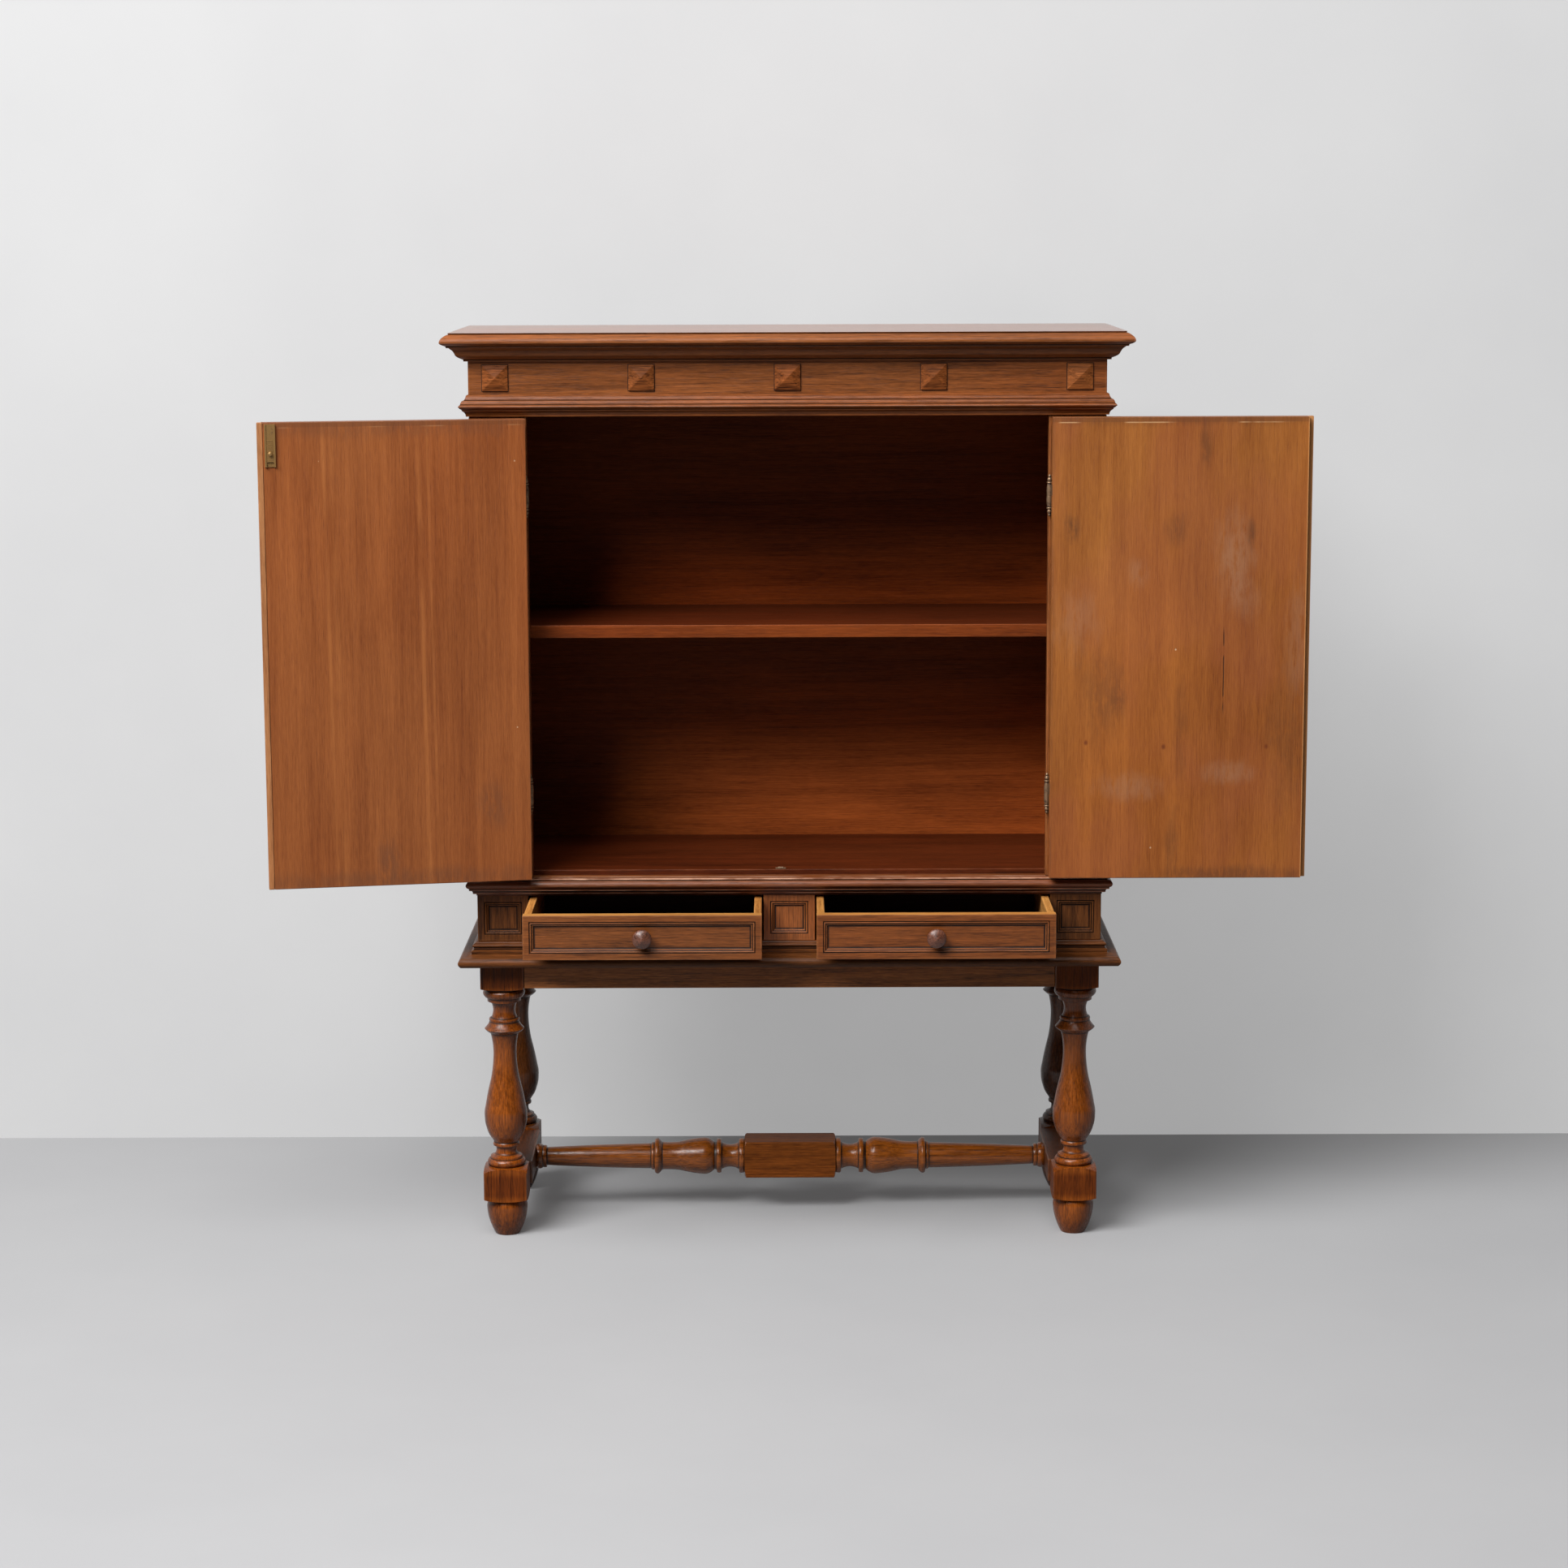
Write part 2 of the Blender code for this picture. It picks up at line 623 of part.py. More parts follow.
def make_mouldings():
    """The moulded boards of the stand and top, and the mouldings wrapped round the case."""
    ease = SEAM / 2
    moulded_slab(
        "stand_top",
        STAND_HEIGHT + ease,
        CASE_Z - ease,
        profile(STAND_TOP_START, STAND_TOP_MEMBERS),
        STAINED_WALNUT,
        case,
    )
    total = TOP_Z + length_of(TOP_MEMBERS)
    moulded_slab("top_board", TOP_Z + ease, total, profile(TOP_START, TOP_MEMBERS), STAINED_WALNUT, case)
    clear = CASE_DEPTH / 2
    core = block(
        "case_core",
        (-HALF_WIDTH - ease, -ease, STAND_HEIGHT),
        (HALF_WIDTH + ease, CASE_DEPTH + clear, total),
        STAINED_WALNUT,
        case,
    )
    to_cutter(core)
    wraps = (
        ("base_moulding", CASE_Z, BASE_START, BASE_MEMBERS),
        ("waist_moulding", RAIL_Z, WAIST_START, WAIST_MEMBERS),
        ("architrave_moulding", HEAD_Z, ARCHITRAVE_START, ARCHITRAVE_MEMBERS),
        ("cornice_moulding", CORNICE_Z, CORNICE_START, CORNICE_MEMBERS),
    )
    for name, low, start, members in wraps:
        high = low + length_of(members)
        wrap = moulded_slab(name, low + ease, high - ease, profile(start, members), STAINED_WALNUT, case)
        combine(wrap, core, "DIFFERENCE")


def make_drawer_case():
    """The bottom the drawers run on, their guides, the three pilasters and the rail above them."""
    board(
        "case_bottom",
        (-HALF_WIDTH, 0.0, CASE_Z),
        (HALF_WIDTH, CASE_DEPTH, DRAWER_Z),
        INNER_WOOD,
        case,
    )
    half_centre = CENTRE_PILASTER_WIDTH / 2
    spans = (
        ("left", -HALF_WIDTH, -PILASTER_EDGE_X),
        ("centre", -half_centre, half_centre),
        ("right", PILASTER_EDGE_X, HALF_WIDTH),
    )
    for place_name, low_x, high_x in spans:
        pilaster = board(
            f"pilaster_{place_name}",
            (low_x, 0.0, DRAWER_Z),
            (high_x, FRONT_THICKNESS, RAIL_Z),
            STAINED_WALNUT,
            case,
        )
        sink_panel(pilaster, PILASTER_BORDER)
    guides = (
        ("left", -PILASTER_EDGE_X - GUIDE_WIDTH, -PILASTER_EDGE_X),
        ("centre", -half_centre, half_centre),
        ("right", PILASTER_EDGE_X, PILASTER_EDGE_X + GUIDE_WIDTH),
    )
    for place_name, low_x, high_x in guides:
        board(
            f"drawer_guide_{place_name}",
            (low_x, FRONT_THICKNESS, DRAWER_Z),
            (high_x, BACK_Y, DRAWER_Z + GUIDE_HEIGHT),
            INNER_WOOD,
            case,
        )
    board(
        "waist_rail",
        (-HALF_WIDTH, 0.0, RAIL_Z),
        (HALF_WIDTH, FRONT_THICKNESS, SILL_Z),
        STAINED_WALNUT,
        case,
    )


def make_drawer(side, sign):
    """One drawer: a panelled front, sides grooved for the bottom, a back and a turned knob."""
    slide = empty(f"drawer_{side}_slide", case, (sign * DRAWER_CENTRE_X, -DRAWER_PULL, DRAWER_Z))
    low = DRAWER_RUNNING_GAP
    half = DRAWER_WIDTH / 2
    front = block(
        f"drawer_{side}_front",
        (-half, 0.0, DRAWER_FRONT_GAP),
        (half, DRAWER_FRONT_THICKNESS, DRAWER_HIGH),
        STAINED_WALNUT,
        slide,
    )
    sink_panel(front, DRAWER_BORDER)
    side_start = DRAWER_FRONT_THICKNESS + SEAM
    side_high = DRAWER_HIGH - DRAWER_SIDE_DROP
    outer = half - DRAWER_SIDE_INSET
    inner = outer - DRAWER_SIDE_THICKNESS
    groove_low = low + DRAWER_GROOVE_HEIGHT
    groove_high = groove_low + DRAWER_BOTTOM_THICKNESS
    groove = inner + DRAWER_GROOVE_DEPTH
    section = (
        (inner, low),
        (outer, low),
        (outer, side_high),
        (inner, side_high),
        (inner, groove_high + SEAM),
        (groove, groove_high + SEAM),
        (groove, groove_low - SEAM),
        (inner, groove_low - SEAM),
    )
    length = DRAWER_LENGTH - side_start
    middle = side_start + length / 2
    upright = (math.radians(90), 0.0, 0.0)
    for hand, mirror in (("left", -1), ("right", 1)):
        outline = [(mirror * x, z) for x, z in section]
        mesh = extruded_mesh(f"drawer_{side}_side_{hand}", outline, length)
        place(f"drawer_{side}_side_{hand}", mesh, LINING_WOOD, slide, (0.0, middle, 0.0), upright)
    block(
        f"drawer_{side}_bottom",
        (-groove + SEAM, side_start, groove_low),
        (groove - SEAM, DRAWER_LENGTH, groove_high),
        LINING_WOOD,
        slide,
    )
    block(
        f"drawer_{side}_back",
        (-inner + SEAM, DRAWER_LENGTH - DRAWER_BACK_THICKNESS, groove_high + SEAM),
        (inner - SEAM, DRAWER_LENGTH, DRAWER_HIGH - DRAWER_BACK_DROP),
        LINING_WOOD,
        slide,
    )
    turning = profile(KNOB_START_RADIUS, KNOB_TURNING)
    points = [(along, radius) for along, radius in reversed(turning)] + [(0.0, 0.0)]
    turned(
        f"drawer_{side}_knob",
        points,
        KNOB_FACETS,
        KNOB_WOOD,
        slide,
        (0.0, PANEL_DROP - SEAM, (DRAWER_FRONT_GAP + DRAWER_HIGH) / 2),
        upright,
    )


def make_carcass():
    """Sides, back, floor, ceiling and shelf, with the stiles and the frieze that face them."""
    for side, sign in (("left", -1), ("right", 1)):
        edges = sorted((sign * INNER_HALF, sign * HALF_WIDTH))
        panel = board(
            f"side_{side}",
            (edges[0], FRONT_THICKNESS, DRAWER_Z),
            (edges[1], BACK_Y, TOP_Z),
            STAINED_WALNUT,
            case,
        )
        combine(panel, shelf_housing(), "DIFFERENCE")
    board(
        "back_panel",
        (-HALF_WIDTH, BACK_Y, DRAWER_Z),
        (HALF_WIDTH, CASE_DEPTH, TOP_Z),
        INNER_WOOD,
        case,
    )
    board(
        "cabinet_floor",
        (-INNER_HALF, FLOOR_EDGE_Y, FLOOR_Z - FLOOR_THICKNESS),
        (INNER_HALF, BACK_Y, FLOOR_Z),
        INNER_WOOD,
        case,
    )
    low, high = shelf_corners()
    board("shelf", low, high, INNER_WOOD, case)
    ceiling = board(
        "cabinet_ceiling",
        (-INNER_HALF, FRONT_THICKNESS, HEAD_Z),
        (INNER_HALF, BACK_Y, HEAD_Z + CEILING_THICKNESS),
        INNER_WOOD,
        case,
    )
    combine(ceiling, bolt_keep(), "DIFFERENCE")


def shelf_corners():
    """The space of the shelf, let into both sides."""
    reach = INNER_HALF + SHELF_HOUSING_DEPTH
    low_z = FLOOR_Z + SHELF_ABOVE_FLOOR
    return (-reach, SHELF_SETBACK, low_z), (reach, BACK_Y, low_z + SHELF_THICKNESS)


def shelf_housing():
    """The cutter of the two grooves that carry the shelf, run out at the back of the sides."""
    found = cutters.objects.get("shelf_housing")
    if found:
        return found
    low, high = shelf_corners()
    ease = SEAM / 2
    low = [c - ease for c in low]
    high = [high[0] + ease, high[1] + SIDE_THICKNESS, high[2] + ease]
    return to_cutter(block("shelf_housing", low, high, INNER_WOOD, case))


def bolt_centre():
    """Where the middle of the bolt lies across the left door, from the hinge axis."""
    return LIP_EDGE - BOLT_FROM_LIP_EDGE - BOLT_WIDTH / 2


def bolt_slide_depth():
    """The back of the bolt's slide, behind the hinge axis of the closed door."""
    return DOOR_INNER_Y + SEAM + BOLT_PLATE_THICKNESS + SEAM


def bolt_slide_width():
    """The slide fills its channel less a seam each side."""
    return BOLT_WIDTH - 2 * BOLT_WALL - 2 * SEAM


def bolt_slide_thickness():
    """The slide fills the depth below the channel's lips less a seam each side."""
    return BOLT_WALL_HEIGHT - BOLT_LIP_THICKNESS - BOLT_PLATE_THICKNESS - 2 * SEAM


def bolt_keep():
    """The cutter of the keep, the notch in the ceiling that the bolt shoots into."""
    middle = bolt_centre() - HINGE_AXIS_X
    half = bolt_slide_width() / 2 + BOLT_KEEP_CLEARANCE
    depth = bolt_slide_depth() + bolt_slide_thickness() + BOLT_KEEP_CLEARANCE - HINGE_AXIS_PROUD
    keep = block(
        "bolt_keep",
        (middle - half, FRONT_THICKNESS - SIDE_THICKNESS, HEAD_Z - CEILING_THICKNESS),
        (middle + half, depth, HEAD_Z + 2 * CEILING_THICKNESS),
        INNER_WOOD,
        case,
    )
    return to_cutter(keep)


def make_frieze():
    """The board above the doors, with its row of pyramid blocks."""
    frieze = board(
        "frieze_board",
        (-HALF_WIDTH, 0.0, HEAD_Z),
        (HALF_WIDTH, FRONT_THICKNESS, TOP_Z),
        STAINED_WALNUT,
        case,
    )
    span = CASE_WIDTH - 2 * PYRAMID_END_INSET
    middle_z = FRIEZE_Z + FRIEZE_PLAIN_HEIGHT / 2
    depth = PYRAMID_EDGE + FRONT_THICKNESS / 2
    for index in range(PYRAMID_COUNT):
        mesh = box_mesh(f"pyramid_{index}", (PYRAMID_SIDE, depth, PYRAMID_SIDE))
        shape = bmesh.new()
        shape.from_mesh(mesh)
        face = min(shape.faces, key=lambda side: side.calc_center_median().y)
        bmesh.ops.poke(shape, faces=[face], offset=PYRAMID_RISE)
        shape.to_mesh(mesh)
        shape.free()
        x = -span / 2 + span * index / (PYRAMID_COUNT - 1)
        home = (x, depth / 2 - PYRAMID_EDGE, middle_z)
        ornament = place(f"pyramid_{index}", mesh, STAINED_WALNUT, case, home)
        combine(frieze, to_cutter(ornament), "UNION")


def leaf_corners(sign, edge, inward):
    """A hinge leaf's corners across and in depth, let into an edge that faces sign's other side."""
    faces = sorted((sign * edge, sign * (edge + inward * HINGE_LEAF_THICKNESS)))
    return faces, (-HINGE_BARREL_RADIUS / 2, HINGE_AXIS_PROUD + HINGE_LEAF_REACH)


def make_hinge_half(name, sign, level, on_door, parent, location):
    """One half of a hinge: a turned barrel with its finial, and the leaf let into the wood."""
    barrel = profile(HINGE_BARREL_RADIUS, HINGE_TURNING)
    if on_door:
        bore = HINGE_PIN_RADIUS + PIN_CLEARANCE
        depth = SEAM + HINGE_PIN_LENGTH + PIN_CLEARANCE
        points = [(SEAM + along, radius) for along, radius in reversed(barrel)]
        points += [(SEAM, bore), (depth, bore), (depth, 0.0)]
        edge, inward, leaf_low = DOOR_EDGE, 1, SEAM
    else:
        points = [(HINGE_PIN_LENGTH, 0.0), (HINGE_PIN_LENGTH, HINGE_PIN_RADIUS), (0.0, HINGE_PIN_RADIUS)]
        points += [(-along, radius) for along, radius in barrel]
        edge, inward, leaf_low = HINGE_AXIS_OUT, -1, -HINGE_LEAF_HEIGHT
    half = turned(name, points, HINGE_FACETS, AGED_BRASS, parent, (*location, level))
    xs, ys = leaf_corners(sign, edge, inward)
    low = (xs[0], ys[0], leaf_low)
    high = (xs[1], ys[1], leaf_low + HINGE_LEAF_HEIGHT)
    leaf = to_cutter(block(name + "_leaf", low, high, AGED_BRASS, half))
    combine(half, leaf, "UNION")
    pocket_low = [c - SEAM for c in low]
    pocket_high = [c + SEAM for c in high]
    return to_cutter(block(name + "_pocket", pocket_low, pocket_high, AGED_BRASS, half))


def make_door(side, sign, open_deg):
    """One door with its stile: a panelled leaf hung on two pin hinges."""
    axis = empty(
        f"door_{side}_axis",
        case,
        (sign * HINGE_AXIS_X, -HINGE_AXIS_PROUD, 0.0),
        sign * open_deg,
    )
    edges = sorted((-sign * DOOR_EDGE, -sign * DOOR_FREE_EDGE))
    door = block(
        f"door_{side}",
        (edges[0], DOOR_FRONT_Y, DOOR_LOW),
        (edges[1], DOOR_INNER_Y, DOOR_HIGH),
        DOOR_WOOD,
        axis,
    )
    sink_panel(door, DOOR_BORDER)
    stile_edges = sorted((sign * STILE_EDGE_X, sign * HALF_WIDTH))
    stile = board(
        f"stile_{side}",
        (stile_edges[0], 0.0, SILL_Z),
        (stile_edges[1], FRONT_THICKNESS, HEAD_Z),
        STAINED_WALNUT,
        case,
    )
    for place_name, level in HINGE_LEVELS.items():
        name = f"hinge_{side}_{place_name}"
        pocket = make_hinge_half(name + "_door_half", -sign, level, True, axis, (0.0, 0.0))
        combine(door, pocket, "DIFFERENCE")
        home = (sign * HINGE_AXIS_X, -HINGE_AXIS_PROUD)
        pocket = make_hinge_half(name + "_stile_half", -sign, level, False, case, home)
        combine(stile, pocket, "DIFFERENCE")
    return axis, door


def make_meeting_lip(left_axis, left_door, right_axis, right_door):
    """The lipping on the left door's free edge, and the rebate behind the right door's edge."""
    low = (LIP_EDGE - LIP_WIDTH, DOOR_INNER_Y - LIP_THICKNESS, DOOR_LOW)
    high = (LIP_EDGE, DOOR_INNER_Y, DOOR_HIGH)
    block("door_left_lipping", low, high, DOOR_WOOD, left_axis)
    past = DOOR_THICKNESS
    seat_low = (low[0] - SEAM, low[1] - SEAM, low[2] - past)
    seat_high = (high[0] + past, high[1] + past, high[2] + past)
    seat = to_cutter(block("lipping_seat", seat_low, seat_high, DOOR_WOOD, left_axis))
    combine(left_door, seat, "DIFFERENCE")
    inner = DOOR_FREE_EDGE - LIP_OVERLAP - LIP_REBATE_CLEARANCE
    rebate_low = (-DOOR_FREE_EDGE - past, low[1] - LIP_REBATE_CLEARANCE, low[2] - past)
    rebate_high = (-inner, high[1] + past, high[2] + past)
    rebate = to_cutter(block("meeting_rebate", rebate_low, rebate_high, DOOR_WOOD, right_axis))
    combine(right_door, rebate, "DIFFERENCE")


def make_bolt(axis):
    """The bolt inside the left door's top corner: a folded channel and the bar that slides in it."""
    half = BOLT_WIDTH / 2
    wall = half - BOLT_WALL
    lip = wall - BOLT_LIP
    rim = BOLT_WALL_HEIGHT - BOLT_LIP_THICKNESS
    right = (
        (half, 0.0),
        (half, BOLT_WALL_HEIGHT),
        (lip, BOLT_WALL_HEIGHT),
        (lip, rim),
        (wall, rim),
        (wall, BOLT_PLATE_THICKNESS),
    )
    outline = list(right) + [(-x, y) for x, y in reversed(right)]
    high = DOOR_HIGH - BOLT_FROM_DOOR_TOP
    low = high - BOLT_HEIGHT
    x = bolt_centre()
    mesh = extruded_mesh("bolt_channel", outline, BOLT_HEIGHT)
    place("bolt_channel", mesh, AGED_BRASS, axis, (x, DOOR_INNER_Y + SEAM, (low + high) / 2))
    depth = bolt_slide_depth()
    thickness = bolt_slide_thickness()
    half_slide = bolt_slide_width() / 2
    slide = block(
        "bolt_slide",
        (x - half_slide, depth, low + BOLT_SLIDE_SHORTFALL),
        (x + half_slide, depth + thickness, high),
        AGED_BRASS,
        axis,
    )
    turn = (math.radians(-90), 0.0, 0.0)
    points = [(BOLT_KNOB_HEIGHT, 0.0), (BOLT_KNOB_HEIGHT, BOLT_KNOB_NECK)]
    points += [(BOLT_KNOB_HEIGHT / 2, BOLT_KNOB_RADIUS)]
    points += [(-thickness / 2, BOLT_KNOB_NECK), (-thickness / 2, 0.0)]
    home = (x, depth + thickness, high - BOLT_KNOB_FROM_TOP)
    knob = turned("bolt_knob", points, HINGE_FACETS, AGED_BRASS, axis, home, turn)
    combine(slide, to_cutter(knob), "UNION")


def make_floor_catch():
    """The catch plate screwed to the floor's front edge where the doors meet."""
    front = FLOOR_EDGE_Y + CATCH_FROM_FLOOR_EDGE
    middle = bolt_centre() - HINGE_AXIS_X
    low = (middle - CATCH_LENGTH / 2, front, FLOOR_Z + SEAM / 2)
    high = (middle + CATCH_LENGTH / 2, front + CATCH_WIDTH, FLOOR_Z + SEAM / 2 + CATCH_THICKNESS)
    plate = block("floor_catch", low, high, AGED_BRASS, case)
    half = CATCH_ROLLER_LENGTH / 2
    points = [(half, 0.0), (half, CATCH_ROLLER_RADIUS), (-half, CATCH_ROLLER_RADIUS), (-half, 0.0)]
    home = (middle, front + CATCH_WIDTH / 2, FLOOR_Z + SEAM / 2 + CATCH_THICKNESS)
    along_x = (0.0, math.radians(90), 0.0)
    roller = turned("catch_roller", points, HINGE_FACETS, AGED_BRASS, case, home, along_x)
    trim_low = [c - CATCH_LENGTH for c in low]
    trim_low[2] = low[2]
    trim_high = [c + CATCH_LENGTH for c in high]
    trim = block("catch_trim", trim_low, trim_high, AGED_BRASS, case)
    combine(plate, to_cutter(roller), "UNION")
    combine(plate, to_cutter(trim), "INTERSECT")


make_legs()
make_aprons()
make_stretchers()
make_mouldings()
make_drawer_case()
make_drawer("left", -1)
make_drawer("right", 1)
make_carcass()
make_frieze()
left_axis, left_door = make_door("left", -1, LEFT_DOOR_OPEN_DEG)
right_axis, right_door = make_door("right", 1, RIGHT_DOOR_OPEN_DEG)
make_meeting_lip(left_axis, left_door, right_axis, right_door)
make_bolt(left_axis)
make_floor_catch()
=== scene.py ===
"""A two-door cabinet on a turned-leg stand, finished piece by piece as it is put together."""

import itertools
import json
import math

import bmesh
import bpy
import numpy as np
from mathutils import Matrix, Vector


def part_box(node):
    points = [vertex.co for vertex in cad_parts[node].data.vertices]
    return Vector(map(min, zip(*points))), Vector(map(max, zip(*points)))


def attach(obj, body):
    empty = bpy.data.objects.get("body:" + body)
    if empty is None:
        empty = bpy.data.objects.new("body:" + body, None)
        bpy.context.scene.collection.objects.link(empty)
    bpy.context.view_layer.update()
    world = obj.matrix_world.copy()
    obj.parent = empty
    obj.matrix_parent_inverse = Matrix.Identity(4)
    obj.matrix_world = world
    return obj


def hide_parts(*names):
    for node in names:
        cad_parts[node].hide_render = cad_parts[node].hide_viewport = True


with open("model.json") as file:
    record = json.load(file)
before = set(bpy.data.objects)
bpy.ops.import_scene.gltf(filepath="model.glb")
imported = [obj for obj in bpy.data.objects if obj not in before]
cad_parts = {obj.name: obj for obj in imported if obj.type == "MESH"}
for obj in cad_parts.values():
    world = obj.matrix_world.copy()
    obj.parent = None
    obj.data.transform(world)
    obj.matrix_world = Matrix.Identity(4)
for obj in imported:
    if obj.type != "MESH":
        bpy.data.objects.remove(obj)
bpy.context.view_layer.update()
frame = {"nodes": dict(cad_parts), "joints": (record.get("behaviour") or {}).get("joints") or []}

# Legs
# Four walnut legs, each turned from one square blank whose head and lower block stay square.
# They are stained, rubbed lighter where hands and brooms reach, and waxed to a soft shine.
LEG_SQUARE_RADIUS = 0.052
LEG_HEAD = 0.0400
LEG_LOWER_BLOCK = 0.0400
LEG_FACETS = 80
LEG_ARRIS = 0.0018
LEG_TURNING = (
    (LEG_HEAD, LEG_SQUARE_RADIUS),
    (0.0038, 0.0460, 0.0010, 2),
    (0.0010, 0.0330),
    (0.0027, 0.0310),
    (0.0135, 0.0310, 0.0036, 5),
    (0.0006, 0.0275),
    (0.0065, 0.0273),
    (0.0008, 0.0220),
    (0.0275, 0.0215, -0.0036, 6),
    (0.0007, 0.0243),
    (0.0052, 0.0243, 0.0008, 3),
    (0.0117, 0.0322, -0.0010, 4),
    (0.0012, 0.0322, 0.0004, 2),
    (0.0073, 0.0230, 0.0010, 3),
    (0.0360, 0.0189, -0.0012, 5),
    (0.0415, 0.0236, -0.0009, 5),
    (0.0460, 0.0334, 0.0006, 5),
    (0.0180, 0.0351, 0.0009, 4),
    (0.0205, 0.0316, 0.0010, 4),
    (0.0143, 0.0254, 0.0008, 4),
    (0.0082, 0.0202, -0.0003, 3),
    (0.0014, 0.0212),
    (0.0048, 0.0212, 0.0006, 3),
    (0.0008, 0.0176),
    (0.0125, 0.0182, -0.0014, 4),
    (0.0043, 0.0260, -0.0014, 3),
    (0.0040, 0.0266),
    (0.0005, 0.0286),
    (0.0110, 0.0288, 0.0029, 5),
    (0.0007, 0.0370),
    (0.0105, LEG_SQUARE_RADIUS, 0.0036, 5),
)
LEG_FOOT_TURNING = (
    (0.0060, 0.0360, 0.0036, 4),
    (0.0008, 0.0300),
    (0.0180, 0.0334, 0.0016, 4),
    (0.0417, 0.0200, 0.0026, 6),
)


def profile(start, members, fine=3):
    """Points (along, across) through members (length, end, bow, facets), flat without a bow."""
    points = [(0.0, start)]
    for step, reach, *curve in members:
        bow, facets = curve or (0.0, 1)
        along, across = points[-1]
        count = facets * fine if facets > 1 else 1
        for facet in range(1, count + 1):
            share = facet / count
            bulge = 4 * bow * share * (1 - share)
            points.append((along + step * share, across + (reach - across) * share + bulge))
    return points


def bend_at(points, i):
    """The angle through which a profile turns at one of its points."""
    before = Vector(points[i]) - Vector(points[i - 1])
    after = Vector(points[i + 1]) - Vector(points[i])
    return before.angle(after, 0.0)


def fair(points, rounds=3, quirk_deg=24.0):
    """Fair the joints between the members of a profile, with its sharp quirks kept."""
    points = [Vector(point) for point in points]
    for _ in range(rounds):
        faired = list(points)
        for i in range(1, len(points) - 1):
            if bend_at(points, i) < math.radians(quirk_deg):
                faired[i] = (points[i - 1] + 2 * points[i] + points[i + 1]) / 4
        points = faired
    return [tuple(point) for point in points]


def crisp(points, bend_deg=16.0, distances=(0.0005, 0.0013), room=0.45):
    """Points added close to each quirk and arris, so that its dirt or its wear stays narrow."""
    last = len(points) - 1
    corners = {i for i in range(1, last) if bend_at(points, i) > math.radians(bend_deg)}
    corners |= {0, last}
    filled = [points[0]]
    for i in range(last):
        here, there = Vector(points[i]), Vector(points[i + 1])
        length = (there - here).length
        near = [distance for distance in distances if distance < room * length]
        stops = near if i in corners else []
        if i + 1 in corners:
            stops = stops + [length - distance for distance in reversed(near)]
        filled += [tuple(here.lerp(there, stop / length)) for stop in stops]
        filled.append(points[i + 1])
    return filled


def worked(start, members):
    """The line of a turning or a moulding as the tools leave it."""
    return crisp(fair(profile(start, members)))


def relief_of(points, reach=0.0022, depth=0.0006, step=0.0004):
    """How proud, up to 1, or sunk, down to -1, each point lies among its neighbours."""
    line = np.array(points, float)
    length = np.concatenate(([0.0], np.cumsum(np.linalg.norm(np.diff(line, axis=0), axis=1))))
    stations = np.arange(0.0, length[-1], step)
    spots = np.column_stack([np.interp(stations, length, line[:, k]) for k in (0, 1)])
    weight = np.exp(-(((length[:, None] - stations[None, :]) / reach) ** 2))
    mean = weight @ spots / weight.sum(axis=1, keepdims=True)
    slope = np.gradient(line, axis=0)
    normal = np.column_stack((-slope[:, 1], slope[:, 0]))
    normal /= np.maximum(np.linalg.norm(normal, axis=1, keepdims=True), 1e-9)
    return np.clip(((line - mean) * normal).sum(axis=1) / depth, -1.0, 1.0)


def mesh_of(shape, name):
    """A mesh from a finished bmesh, with its faces pointing out."""
    bmesh.ops.recalc_face_normals(shape, faces=shape.faces)
    mesh = bpy.data.meshes.new(name)
    shape.to_mesh(mesh)
    shape.free()
    return mesh


def lathe(points, facets, name, weld=0.000002):
    """A solid turned about Z through points (height, radius) that start and end on the axis."""
    shape = bmesh.new()
    rim = [shape.verts.new((radius, 0.0, height)) for height, radius in points]
    edges = [shape.edges.new(pair) for pair in zip(rim, rim[1:])]
    turn = dict(cent=(0.0, 0.0, 0.0), axis=(0.0, 0.0, 1.0), angle=math.tau, steps=facets)
    bmesh.ops.spin(shape, geom=rim + edges, use_merge=True, **turn)
    bmesh.ops.remove_doubles(shape, verts=shape.verts, dist=weld)
    return mesh_of(shape, name)


def sharp_box(low, high):
    """A box between two corners."""
    shape = bmesh.new()
    bmesh.ops.create_cube(shape, size=1.0)
    for corner in shape.verts:
        corner.co = [high[k] if corner.co[k] > 0 else low[k] for k in range(3)]
    return shape


def ease_edges(shape, edges, width, segments, clamp=False):
    """Round some edges of a shape."""
    how = dict(profile=0.5, affect="EDGES", clamp_overlap=clamp)
    bmesh.ops.bevel(shape, geom=edges, offset=width, segments=segments, **how)


def eased_box(low, high, ease, segments=3):
    """A box between two corners with every arris eased."""
    shape = sharp_box(low, high)
    ease_edges(shape, list(shape.edges), ease, segments)
    return shape


def combined(mesh, tool, operation):
    """The mesh left by a Boolean of one mesh with another."""
    work = bpy.data.objects.new("work", mesh)
    other = bpy.data.objects.new("tool", tool)
    for made in (work, other):
        bpy.context.scene.collection.objects.link(made)
    step = work.modifiers.new("cut", "BOOLEAN")
    step.operation = operation
    step.object = other
    bpy.context.view_layer.update()
    graph = bpy.context.evaluated_depsgraph_get()
    result = bpy.data.meshes.new_from_object(work.evaluated_get(graph))
    for made in (work, other):
        bpy.data.objects.remove(made, do_unlink=True)
    return result


lots = itertools.count(1)
LOT_SHIFT = np.array((0.731, 0.277, 0.419))


def points_of(mesh):
    """The vertices of a mesh as an array."""
    points = np.empty(len(mesh.vertices) * 3)
    mesh.vertices.foreach_get("co", points)
    return points.reshape(-1, 3)


